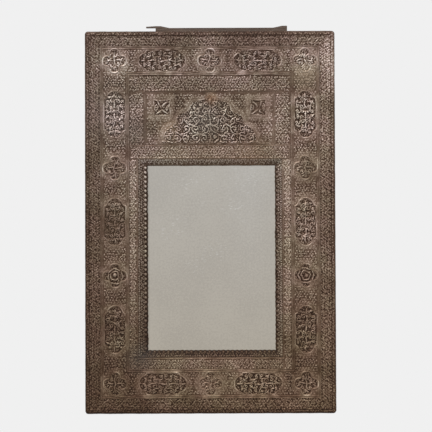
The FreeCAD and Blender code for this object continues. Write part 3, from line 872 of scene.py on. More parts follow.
@dataclass(frozen=True)
class EdgeForm:
    """A strip folded over the rounded outer edge of the frame, mitred at both ends."""

    side: Side
    outline: Rect
    band: float
    nose: float
    corner: float
    front: float
    back: float

    @property
    def span(self) -> float:
        """Width of the strip when it is rolled flat."""
        return self.band - self.nose + self.nose * QUARTER_TURN + (self.back - self.front - self.nose)

    def _roll(self, across: Array) -> Array:
        """How far round the nose places across the strip lie, in radians."""
        return np.clip((across - self.band + self.nose) / self.nose, 0, QUARTER_TURN)

    def inset_at(self, across: Array) -> Array:
        """Distance from the outer edge, seen from the front, for places across the strip."""
        roll = self._roll(across)
        return np.where(roll > 0, self.nose * (1 - np.sin(roll)), self.band - across)

    def place(self, share: Array, across: Array) -> Bent:
        """Folds the strip over the edge; see SheetForm."""
        roll, inset = self._roll(across), self.inset_at(across)
        wall = np.maximum(across - self.band + self.nose - self.nose * QUARTER_TURN, 0)
        depth = self.front + self.nose * (1 - np.cos(roll)) + wall

        half_along, half_out = self.outline.half(self.side.along), self.outline.half(self.side.out)
        along = (2 * share - 1) * (half_along - inset)
        radius = np.maximum(self.corner - inset, 0)
        straight = half_along - inset - radius
        past = np.maximum(np.abs(along) - straight, 0)
        swing = np.sign(along) * past / np.maximum(radius, MM) * math.pi / 4
        swing = np.where(radius > 0, swing, 0.0)
        place_along = np.where(past > 0, np.sign(along) * straight, along) + radius * np.sin(swing)
        place_out = half_out - inset - radius + radius * np.cos(swing)

        face = (np.array(self.outline.middle) + np.outer(place_along, self.side.along)
                + np.outer(place_out, self.side.out))
        outwards = np.outer(np.sin(swing), self.side.along) + np.outer(np.cos(swing), self.side.out)
        lean = outwards * np.sin(roll)[:, None]
        points = np.column_stack([face[:, 0], depth, face[:, 1]])
        return points, np.column_stack([lean[:, 0], -np.cos(roll), lean[:, 1]]), along


@dataclass(frozen=True)
class SlopeForm:
    """A strip that slopes from the face down to the glass and turns in against it."""

    side: Side
    sight: Rect
    opening: Rect
    front: float
    edge: float
    glass: float

    @property
    def lip(self) -> float:
        """Depth of the part that stands against the glass."""
        return self.glass - self.edge

    @property
    def run(self) -> float:
        """Width of the sloping part, seen from the front."""
        return self.sight.reach(self.side.out) - self.opening.reach(self.side.out)

    @property
    def slope(self) -> float:
        """Width of the sloping part along the slope."""
        return math.hypot(self.run, self.edge - self.front)

    @property
    def ends(self) -> Share:
        """Places along the strip where the opening starts and ends."""
        return -self.opening.reach(-self.side.along), self.opening.reach(self.side.along)

    def place(self, share: Array, across: Array) -> Bent:
        """Slopes the strip and turns its inner edge to the glass; see SheetForm."""
        rise = np.clip((across - self.lip) / self.slope, 0, 1)

        def reach(direction: Array) -> Array:
            """How far the strip reaches in a direction, from the opening up to the face."""
            return np.interp(rise, (0, 1), [rect.reach(direction) for rect in (self.opening, self.sight)])

        start = -reach(-self.side.along)
        along = start + share * (reach(self.side.along) - start)
        turned_in = np.maximum(self.lip - across, 0)
        depth = np.interp(rise, (0, 1), (self.edge, self.front)) + turned_in
        face = np.outer(along, self.side.along) + np.outer(reach(self.side.out), self.side.out)
        points = np.column_stack([face[:, 0], depth, face[:, 1]])

        lean = np.where(turned_in > 0, 1.0, (self.edge - self.front) / self.slope)
        forward = np.where(turned_in > 0, 0.0, self.run / self.slope)
        sideways = -np.outer(lean, self.side.out)
        return points, np.column_stack([sideways[:, 0], -forward, sideways[:, 1]]), along


class NodeBoard:
    """Adds linked nodes to one shader tree."""

    def __init__(self, tree: bpy.types.NodeTree) -> None:
        """Takes the tree to work on."""
        self.tree = tree

    def feed(self, node: Node, inputs: dict[Any, Any]) -> None:
        """Sets or links inputs of a node.

        Args:
            node: The node to feed.
            inputs: Values or output sockets, by name or number of the input.
        """
        for key, value in inputs.items():
            if isinstance(value, Socket):
                self.tree.links.new(value, node.inputs[key])
            else:
                node.inputs[key].default_value = value

    def add(self, kind: str, inputs: dict[Any, Any] | None = None, **settings: Any) -> Node:
        """Adds a node.

        Args:
            kind: The node's type.
            inputs: Values or output sockets, by name or number of the input.
            settings: The node's own settings.

        Returns:
            The new node.
        """
        node = self.tree.nodes.new(kind)
        for name, value in settings.items():
            setattr(node, name, value)
        self.feed(node, inputs or {})
        return node

    def math(self, operation: str, *values: Any, clamp: bool = False) -> Socket:
        """The result of a sum of numbers or sockets."""
        node = self.add("ShaderNodeMath", dict(enumerate(values)), operation=operation, use_clamp=clamp)
        return node.outputs["Value"]

    def times(self, first: Any, second: Any) -> Socket:
        """The product of two numbers or sockets."""
        return self.math("MULTIPLY", first, second)

    def swing(self, value: Any, amount: float) -> Socket:
        """A value from 0 to 1, made to swing by an amount in all about 0."""
        return self.math("MULTIPLY_ADD", value, amount, -amount / 2)

    def place(self) -> tuple[Socket, Any]:
        """The place on the piece, whole and split into X, Y and Z."""
        place = self.add("ShaderNodeTexCoord").outputs["Object"]
        return place, self.add("ShaderNodeSeparateXYZ", {0: place}).outputs

    def noise(self, vector: Any, scale: Any, detail: float = 4.0, rough: float = 0.55) -> Socket:
        """Cloudy values from 0 to 1."""
        return self.add("ShaderNodeTexNoise", {
            "Vector": vector, "Scale": scale, "Detail": detail, "Roughness": rough}).outputs["Fac"]

    def spread(self, value: Any, low: float, high: float, new_low: float = 0.0,
               new_high: float = 1.0) -> Socket:
        """A value carried from one range to another, and kept inside it."""
        return self.add("ShaderNodeMapRange", {
            "Value": value, "From Min": low, "From Max": high, "To Min": new_low,
            "To Max": new_high}).outputs["Result"]

    def ramp(self, value: Any, stops: list[tuple[float, Colour]]) -> Socket:
        """A colour from a row of stops.

        Args:
            value: Where on the row, from 0 to 1.
            stops: Places and colours.

        Returns:
            The colour.
        """
        node = self.add("ShaderNodeValToRGB", {"Fac": value})
        elements = node.color_ramp.elements
        for _ in stops[2:]:
            elements.new(0.5)
        for element, (place, colour) in zip(elements, stops):
            element.position = place
            element.color = (*colour, 1.0)
        return node.outputs["Color"]

    def away(self, split: Any, x: float, z: float) -> Socket:
        """Distance from a place on the face.

        Args:
            split: The place on the piece, in parts.
            x: The place across.
            z: The place upwards.

        Returns:
            The distance.
        """
        squares = [self.math("POWER", self.math("SUBTRACT", split[axis], value), 2.0)
                   for axis, value in (("X", x), ("Z", z))]
        return self.math("SQRT", self.math("ADD", *squares))

    def blend(self, share: Any, first: Any, second: Any, mode: str = "MIX") -> Socket:
        """Two colours mixed by a share.

        Args:
            share: How much of the second.
            first: The first colour.
            second: The second colour.
            mode: How they are mixed.

        Returns:
            The mixed colour.
        """
        colours = {key: value if isinstance(value, Socket) else (*value, 1.0)
                   for key, value in ((6, first), (7, second))}
        node = self.add("ShaderNodeMix", {0: share, **colours}, data_type="RGBA", blend_type=mode)
        return node.outputs[2]

    def tinted(self, share: Any, colour: Any, tint: Any) -> Socket:
        """A colour multiplied by a tint, by a share."""
        return self.blend(share, colour, self.blend(1.0, colour, tint, "MULTIPLY"))

    def bump(self, strength: float, distance: float, height: Socket) -> Socket:
        """Normals of a surface that a height roughens."""
        return self.add("ShaderNodeBump", {
            "Strength": strength, "Distance": distance, "Height": height}).outputs["Normal"]


class Effects:
    """Shader node groups that several finishes use, each made once."""

    blotch_cut: Share = (0.34, 0.68)
    speck_cut: Share = (0.30, 0.70)
    grain_stretch: float = 0.93
    ring_scale: float = 55.0
    ring_count: float = 6.0
    ring_cut: Share = (0.0, 0.25)
    pore_scale: float = 620.0
    pore_cut: Share = (0.36, 0.62)
    _made: dict[str, bpy.types.NodeTree] = {}

    @classmethod
    def _placed(cls, board: NodeBoard, name: str, inputs: dict[str, float], outputs: tuple[str, ...],
                fill: Callable[[NodeBoard, Node, Node], None]) -> Any:
        """Places a group in a material, and makes it the first time it is asked for.

        Args:
            board: The material's board.
            name: The group's name.
            inputs: Its float inputs and their values in this material.
            outputs: Its float outputs.
            fill: Puts the nodes in, given the group's board and its two ends.

        Returns:
            The outputs of the placed group.
        """
        if name not in cls._made:
            tree = bpy.data.node_groups.new(name, "ShaderNodeTree")
            for labels, way in ((inputs, "INPUT"), (outputs, "OUTPUT")):
                for label in labels:
                    tree.interface.new_socket(label, in_out=way, socket_type="NodeSocketFloat")
            inside = NodeBoard(tree)
            fill(inside, inside.add("NodeGroupInput"), inside.add("NodeGroupOutput"))
            cls._made[name] = tree
        return board.add("ShaderNodeGroup", inputs, node_tree=cls._made[name]).outputs

    @classmethod
    def grime(cls, board: NodeBoard, blotch_scale: float, speck_scale: float) -> Any:
        """Blotches and fine specks, by place on the piece.

        Args:
            board: The material's board.
            blotch_scale: How close the blotches lie.
            speck_scale: How close the specks lie.

        Returns:
            The outputs Blotch and Speck.
        """
        def fill(inside: NodeBoard, start: Node, end: Node) -> None:
            """Spreads two noises of very different size; see _placed."""
            place, _ = inside.place()
            cloud = inside.noise(place, start.outputs["Blotch Scale"])
            speck = inside.noise(place, start.outputs["Speck Scale"], 2.0)
            inside.feed(end, {
                "Blotch": inside.spread(cloud, *cls.blotch_cut),
                "Speck": inside.spread(speck, *cls.speck_cut)})

        scales = {"Blotch Scale": blotch_scale, "Speck Scale": speck_scale}
        return cls._placed(board, "grime", scales, ("Blotch", "Speck"), fill)

    @classmethod
    def grain(cls, board: NodeBoard, lie: Lie) -> Any:
        """Long wood grain with pores.

        Args:
            board: The material's board.
            lie: Which way the grain runs.

        Returns:
            The outputs Figure and Pores.
        """
        def fill(inside: NodeBoard, start: Node, end: Node) -> None:
            """Stretches noise along the grain and adds fine pores; see _placed."""
            _, split = inside.place()
            level = start.outputs["Level"]
            shrunk = {"Y": split["Y"]}
            for axis, share in (("X", level), ("Z", inside.math("SUBTRACT", 1.0, level))):
                shrink = inside.math("MULTIPLY_ADD", share, -cls.grain_stretch, 1.0)
                shrunk[axis] = inside.times(split[axis], shrink)
            drawn_out = inside.add("ShaderNodeCombineXYZ", shrunk).outputs[0]
            cloud = inside.noise(drawn_out, cls.ring_scale, 5.0, 0.6)
            rings = inside.math("FRACT", inside.times(cloud, cls.ring_count))
            line = inside.times(rings, inside.math("SUBTRACT", 1.0, rings))
            pores = inside.noise(drawn_out, cls.pore_scale, 2.0, 0.6)
            inside.feed(end, {
                "Figure": inside.spread(line, *cls.ring_cut),
                "Pores": inside.spread(pores, *cls.pore_cut)})

        return cls._placed(board, "grain", {"Level": float(lie is Lie.LEVEL)}, ("Figure", "Pores"), fill)


def new_material(name: str) -> tuple[Material, NodeBoard, Node]:
    """An empty material.

    Args:
        name: The material's name.

    Returns:
        The material, a board for its nodes, and its Principled shader.
    """
    material = bpy.data.materials.new(name)
    material.use_nodes = True
    board = NodeBoard(material.node_tree)
    return material, board, material.node_tree.nodes["Principled BSDF"]


@dataclass(frozen=True)
class SheetFinish:
    """Tarnished silvered brass: dark in its hollows, rubbed pale on what stands proud.

    A stain is a place x, z, a reach, a strength and a colour, in metres.
    """

    name: str = "embossed_sheet"
    # shade below 1 darkens every stop, for a copy of the sheet with painted shade in a recess.
    shade: float = 1.0
    stops: tuple[tuple[float, Colour], ...] = (
        (0.0, (0.022, 0.0108, 0.0062)), (0.22, (0.061, 0.0365, 0.0245)), (0.45, (0.122, 0.088, 0.069)),
        (0.70, (0.232, 0.187, 0.162)), (1.0, (0.475, 0.43, 0.405)))
    upper_tint: Colour = (1.01, 0.985, 0.98)
    # lower_tint darkens and browns the foot: partly the sheet's own browner colour, partly painted shade of
    # light from above.
    lower_tint: Colour = (0.86, 0.75, 0.59)
    right_tint: Colour = (1.01, 0.99, 0.96)
    mauve: Colour = (1.03, 0.98, 1.008)
    olive: Colour = (0.97, 1.01, 0.943)
    stains: tuple[tuple[float, float, float, float, Colour], ...] = (
        (0.003, 0.318, 0.016, 0.70, (0.190, 0.105, 0.058)),
        (-0.010, 0.275, 0.050, 0.22, (0.165, 0.155, 0.150)),
        (-0.150, 0.250, 0.040, 0.34, (0.070, 0.066, 0.052)),
        (-0.200, 0.290, 0.080, 0.28, (0.112, 0.096, 0.088)),
        (0.085, 0.212, 0.045, 0.25, (0.165, 0.112, 0.066)),
        (0.005, 0.212, 0.045, 0.20, (0.165, 0.112, 0.066)),
        (-0.060, 0.190, 0.065, 0.25, (0.145, 0.092, 0.055)),
        (0.075, 0.190, 0.065, 0.30, (0.150, 0.092, 0.053)),
        (-0.080, 0.258, 0.030, 0.40, (0.230, 0.165, 0.100)),
        (0.192, 0.362, 0.035, 0.40, (0.290, 0.225, 0.150)),
        (-0.140, -0.200, 0.040, 0.45, (0.064, 0.058, 0.053)),
        (-0.192, 0.070, 0.050, 0.30, (0.085, 0.062, 0.034)))
    height_range: Share = (-0.31, 0.45)
    right_range: Share = (-0.05, 0.2)
    grime_scales: Share = (16.0, 750.0)
    speck_swing: float = 0.22
    blotch_swing: float = 0.16
    drift_scale: float = 7.0
    drift_swing: float = 0.36
    hue_scale: float = 19.0
    hue_range: Share = (0.38, 0.62)
    stain_core: float = 0.2
    stain_break: Share = (0.1, 0.6)
    specular: float = 0.15
    roughness: Share = (0.68, 0.40)
    metal_wear: Share = (0.1, 0.8)
    metal: Share = (0.25, 0.75)
    bump: Share = (0.5, 0.0004)

    def build(self) -> Material:
        """Makes the material.

        Returns:
            The material.
        """
        material, board, shader = new_material(self.name)
        wear = board.add("ShaderNodeAttribute", attribute_name="wear").outputs["Fac"]
        grime = Effects.grime(board, *self.grime_scales)
        place, split = board.place()
        specked = board.math("ADD", wear, board.swing(grime["Speck"], self.speck_swing))
        rubbed = board.math("ADD", specked, board.swing(grime["Blotch"], self.blotch_swing), clamp=True)
        stops = [(stop, tuple(self.shade * part for part in tone)) for stop, tone in self.stops]
        colour = board.ramp(rubbed, stops)
        colour = board.blend(1.0, colour, self._tint(board, place, split), "MULTIPLY")
        for x, z, reach, strength, stain in self.stains:
            spot = board.spread(board.away(split, x, z), reach, self.stain_core * reach, 0.0, strength)
            uneven = board.times(spot, board.spread(grime["Speck"], *self.stain_break))
            colour = board.blend(uneven, colour, stain)
        board.feed(shader, {
            "Base Color": colour,
            "Specular IOR Level": self.specular,
            "Roughness": board.spread(rubbed, 0.0, 1.0, *self.roughness),
            "Metallic": board.spread(rubbed, *self.metal_wear, *self.metal),
            "Normal": board.bump(*self.bump, grime["Speck"])})
        return material

    def _tint(self, board: NodeBoard, place: Socket, split: Any) -> Socket:
        """The drift of the colour over the frame, darker and browner towards the foot: partly the sheet's own
        colour, partly painted shade.

        Args:
            board: The material's board.
            place: The place on the piece.
            split: The same place in parts.

        Returns:
            The tint.
        """
        drift = board.swing(board.noise(place, self.drift_scale, 3.0), self.drift_swing)
        up = board.math("ADD", board.spread(split["Z"], *self.height_range), drift, clamp=True)
        tint = board.blend(up, self.lower_tint, self.upper_tint)
        tint = board.tinted(board.spread(split["X"], *self.right_range), tint, self.right_tint)
        wander = board.spread(board.noise(place, self.hue_scale, 3.0), *self.hue_range)
        return board.blend(1.0, tint, board.blend(wander, self.mauve, self.olive), "MULTIPLY")


@dataclass(frozen=True)
class WoodFinish:
    """Old bare wood, darkened by handling and smoke."""

    name: str
    lie: Lie
    dark: Colour = (0.050, 0.030, 0.019)
    pale: Colour = (0.165, 0.105, 0.066)
    grime_scales: Share = (14.0, 420.0)
    pore_share: float = 0.45
    pore_mix: float = 0.62
    stain_share: float = 0.45
    roughness: Share = (0.85, 0.66)
    figure_rise: float = 0.4
    bump: Share = (0.55, 0.0006)

    def build(self) -> Material:
        """Makes the material.

        Returns:
            The material.
        """
        material, board, shader = new_material(self.name)
        grain = Effects.grain(board, self.lie)
        grime = Effects.grime(board, *self.grime_scales)
        figure = board.blend(grain["Figure"], self.dark, self.pale)
        pored = board.blend(board.times(grain["Pores"], self.pore_share), self.dark, figure)
        mixed = board.blend(self.pore_mix, figure, pored)
        height = board.math("ADD", grain["Pores"], board.times(grain["Figure"], self.figure_rise))
        board.feed(shader, {
            "Base Color": board.blend(board.times(grime["Blotch"], self.stain_share), mixed, self.dark),
            "Roughness": board.spread(grain["Pores"], 0.0, 1.0, *self.roughness),
            "Normal": board.bump(*self.bump, height)})
        return material


@dataclass(frozen=True)
class MirrorFinish:
    """Silvered glass dulled by age, with scratches and faint clouds in the silvering, and painted shade along
    its edges.

    A scratched patch is a place x, z, a reach, a turn and a strength, in metres. The painted shade at
    the left, right, foot and top edge, the lip's contact shadow, is a reach and a strength each.
    """

    opening: Rect
    name: str = "aged_mirror"
    clear: Colour = (0.525, 0.499, 0.455)
    clouded: Colour = (0.473, 0.449, 0.411)
    foot_tint: Colour = (0.935, 0.905, 0.85)
    streak_tint: Colour = (1.045, 1.055, 1.075)
    streak: Share = (0.078, 0.055)
    streak_rise: Share = (-0.115, 0.185)
    scratch: Colour = (0.72, 0.71, 0.69)
    # edge: colour of the painted shade along the glass edges
    edge: Colour = (0.10, 0.085, 0.07)
    edge_shade_fades: tuple[Share, ...] = ((0.0050, 0.30), (0.0012, 0.8), (0.0012, 0.8), (0.0012, 0.8))
    scratched: tuple[Patch, ...] = (
        (0.080, 0.155, 0.075, 0.5, 1.0), (-0.030, 0.148, 0.065, 0.2, 1.1), (-0.078, 0.062, 0.038, 0.7, 1.6),
        (0.010, 0.012, 0.034, -0.6, 1.6), (-0.028, -0.012, 0.032, 1.2, 1.1), (0.050, 0.098, 0.040, 0.1, 1.4))
    grime_scales: Share = (9.0, 260.0)
    speckle: float = 1.4
    scratch_stretch: float = 0.30
    scratch_scale: float = 420.0
    scratch_cut: Share = (0.54, 0.68)
    break_scale: float = 85.0
    break_cut: Share = (0.45, 0.56)
    roughness: Share = (0.07, 0.16)

    def build(self) -> Material:
        """Makes the material.

        Returns:
            The material.
        """
        material, board, shader = new_material(self.name)
        grime = Effects.grime(board, *self.grime_scales)
        place, split = board.place()
        cloud = board.math("SUBTRACT", grime["Blotch"], self.speckle / 2)
        dulled = board.math("MULTIPLY_ADD", grime["Speck"], self.speckle, cloud, clamp=True)
        silver = board.blend(dulled, self.clear, self.clouded)
        down = board.spread(split["Z"], self.opening.high * MM, self.opening.low * MM)
        silver = board.tinted(down, silver, self.foot_tint)
        middle, half = self.streak
        off = board.math("ABSOLUTE", board.math("SUBTRACT", split["X"], middle))
        pale = board.times(board.spread(off, half, 0.0), board.spread(split["Z"], *self.streak_rise))
        silver = board.tinted(pale, silver, self.streak_tint)
        flecks: Any = 0.0
        for x, z, reach, turn, strength in self.scratched:
            patch = board.spread(board.away(split, x, z), reach, 0.0, 0.0, strength)
            flecks = board.math("MAXIMUM", flecks, board.times(patch, self._scratches(board, place, turn)))
        silver = board.blend(flecks, silver, self.scratch)
        board.feed(shader, {
            "Base Color": board.blend(self._edge_shade(board, split), silver, self.edge),
            "Metallic": 1.0,
            "Roughness": board.spread(grime["Blotch"], 0.0, 1.0, *self.roughness)})
        return material

    def _scratches(self, board: NodeBoard, place: Socket, turn: float) -> Socket:
        """Short fine scratches that run one way, broken up by a second noise.

        Args:
            board: The board of the glass.
            place: The place on the glass.
            turn: Which way the scratches run, in radians.

        Returns:
            1 on a scratch and 0 beside it.
        """
        lines = board.add("ShaderNodeMapping", {
            "Vector": place, "Rotation": (0.0, turn, 0.0),
            "Scale": (self.scratch_stretch, 1.0, 1.0)}).outputs[0]
        fine = board.spread(board.noise(lines, self.scratch_scale, 5.0, 0.7), *self.scratch_cut)
        broken = board.spread(board.noise(place, self.break_scale, 3.0, 0.6), *self.break_cut)
        return board.times(fine, broken)

    def _edge_shade(self, board: NodeBoard, split: Any) -> Socket:
        """How far painted shade darkens the glass beside the opening, as the contact shadow of the lip.

        Args:
            board: The board of the glass.
            split: The place on the glass, in parts.

        Returns:
            Up to 1 at the edge, and 0 further in.
        """
        rect, x, z = self.opening, split["X"], split["Z"]
        ends = ((x, rect.left * MM), (rect.right * MM, x), (z, rect.low * MM), (rect.high * MM, z))
        # Painted shade: the lip's contact shadow on the glass, widest at the left.
        edge_shade_share: Any = 0.0
        for end, (reach, strength) in zip(ends, self.edge_shade_fades):
            inwards = board.math("SUBTRACT", *end)
            edge_shade_share = board.math("MAXIMUM", edge_shade_share, board.spread(inwards, reach, 0.0, 0.0, strength))
        return edge_shade_share


@dataclass(frozen=True)
class IronFinish:
    """Blackened iron with brown rust; each pair runs from bare to rusted."""

    name: str = "old_iron"
    bare: Colour = (0.060, 0.054, 0.050)
    rust: Colour = (0.105, 0.050, 0.026)
    grime_scales: Share = (120.0, 1500.0)
    roughness: Share = (0.48, 0.80)
    metal: Share = (0.85, 0.10)
    bump: Share = (0.6, 0.0003)

    def build(self) -> Material:
        """Makes the material.

        Returns:
            The material.
        """
        material, board, shader = new_material(self.name)
        grime = Effects.grime(board, *self.grime_scales)
        rusted = board.times(grime["Blotch"], grime["Speck"])
        board.feed(shader, {
            "Base Color": board.blend(rusted, self.bare, self.rust),
            "Roughness": board.spread(rusted, 0.0, 1.0, *self.roughness),
            "Metallic": board.spread(rusted, 0.0, 1.0, *self.metal),
            "Normal": board.bump(*self.bump, grime["Speck"])})
        return material


Finish = SheetFinish | WoodFinish | MirrorFinish | IronFinish


class Workshop:
    """Makes the objects of the scene and hands out finishes, each made once."""

    _finishes: dict[str, Material] = {}

    @classmethod
    def finish(cls, finish: Finish) -> Material:
        """The material of a finish, made the first time it is asked for.

        Args:
            finish: The finish.

        Returns:
            Its material.
        """
        if finish.name not in cls._finishes:
            cls._finishes[finish.name] = finish.build()
        return cls._finishes[finish.name]

    @classmethod
    def dress(cls, node: str, finish: Finish) -> None:
        """Gives a node of the frame its finish.

        Args:
            node: The node.
            finish: Its finish.
        """
        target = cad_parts[node]
        target.data.materials.clear()
        target.data.materials.append(cls.finish(finish))
        LOG.info("dressed %s in %s", node, finish.name)

    @classmethod
    def piece(cls, name: str, mesh: Mesh, finish: Finish, slot: str, *nodes: str,
              body: str = MIRROR_BODY) -> bpy.types.Object:
        """Puts a finished mesh in the scene.

        Args:
            name: The piece's name.
            mesh: Its mesh, in place.
            finish: Its finish.
            slot: Not used.
            nodes: Nodes of the frame that it stands for.
            body: The body that it rides on.

        Returns:
            The new object.
        """
        thing = bpy.data.objects.new(name, mesh)
        bpy.context.scene.collection.objects.link(thing)
        mesh.materials.append(cls.finish(finish))
        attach(thing, body)
        if nodes:
            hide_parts(*nodes)
        LOG.info("made %s with %d faces", name, len(mesh.polygons))
        return thing

    @staticmethod
    def from_bmesh(name: str, shape: bmesh.types.BMesh, smooth_angle: float) -> Mesh:
        """A mesh from a bmesh in millimetres, smooth below an angle.

        Args:
            name: The mesh's name.
            shape: The bmesh, which is used up.
            smooth_angle: Edges sharper than this stay sharp, in degrees.

        Returns:
            The mesh, in metres.
        """
        bmesh.ops.recalc_face_normals(shape, faces=shape.faces)
        bmesh.ops.scale(shape, vec=(MM, MM, MM), verts=shape.verts)
        mesh = bpy.data.meshes.new(name)
        shape.to_mesh(mesh)
        shape.free()
        mesh.shade_smooth()
        mesh.set_sharp_from_angle(angle=math.radians(smooth_angle))
        return mesh


@dataclass(frozen=True)
class Sheet:
    """One embossed sheet: the node it stands for, its relief and the form that it is bent to."""

    node: str
    relief: Relief
    form: SheetForm
    closed_back: bool = True
    thickness: float = 0.8
    smooth_angle: float = 55.0

    def lay(self, finish: SheetFinish) -> None:
        """Puts the sheet in the scene, with a wall where its back is left open.

        Args:
            finish: The sheet's finish.
        """
        piece = Workshop.piece(f"{self.node}_sheet", self._mesh(), finish, "embossed_sheet", self.node)
        if not self.closed_back:
            wall = piece.modifiers.new("thickness", "SOLIDIFY")
            wall.thickness = self.thickness * MM
            wall.offset = -1.0

    def _grid(self) -> Mesh:
        """A flat grid of one unit with the cells of the relief, and a skirt and floor below it."""
        shape = bmesh.new()
        bmesh.ops.create_grid(shape, x_segments=self.relief.columns - 1,
                              y_segments=self.relief.rows - 1, size=0.5)
        if self.closed_back:
            rim = [edge for edge in shape.edges if edge.is_boundary]
            skirt = bmesh.ops.extrude_edge_only(shape, edges=rim)["geom"]
            lower = [item for item in skirt if isinstance(item, bmesh.types.BMVert)]
            bmesh.ops.translate(shape, verts=lower, vec=(0, 0, -1))
            bmesh.ops.contextual_create(shape, geom=[edge for edge in shape.edges if edge.is_boundary])
        mesh = bpy.data.meshes.new(self.node)
        shape.to_mesh(mesh)
        shape.free()
        return mesh

    def _mesh(self) -> Mesh:
        """The sheet's mesh, with its wear as an attribute.

        Returns:
            The mesh, in place and in metres.
        """
        mesh = self._grid()
        relief = self.relief
        spots = np.empty(3 * len(mesh.vertices))
        mesh.vertices.foreach_get("co", spots)
        spots = spots.reshape(-1, 3)
        across = relief.area.low + (spots[:, 1] + 0.5) * relief.area.height
        points, normals, along = self.form.place(spots[:, 0] + 0.5, across)
        height = relief.sample(relief.height, along, across)
        rise = np.where(spots[:, 2] < -0.5, -self.thickness, height)
        points = (points + normals * rise[:, None]) * MM
        mesh.vertices.foreach_set("co", points.ravel())
        wear = mesh.attributes.new("wear", "FLOAT", "POINT")
        wear.data.foreach_set("value", relief.sample(relief.wear, along, across).astype(np.float32))
        mesh.shade_smooth()
        mesh.set_sharp_from_angle(angle=math.radians(self.smooth_angle))
        mesh.update()
        return mesh


@dataclass(frozen=True)
class MotifMake:
    """How one kind of motif is struck: its rim, the inset of its fill, its wear and its small curls."""

    rim_width: float
    rim_height: float
    inset: float
    rim_lift: float
    floor_shade: float
    halo: float
    seed_pitch: float
    seed_share: float


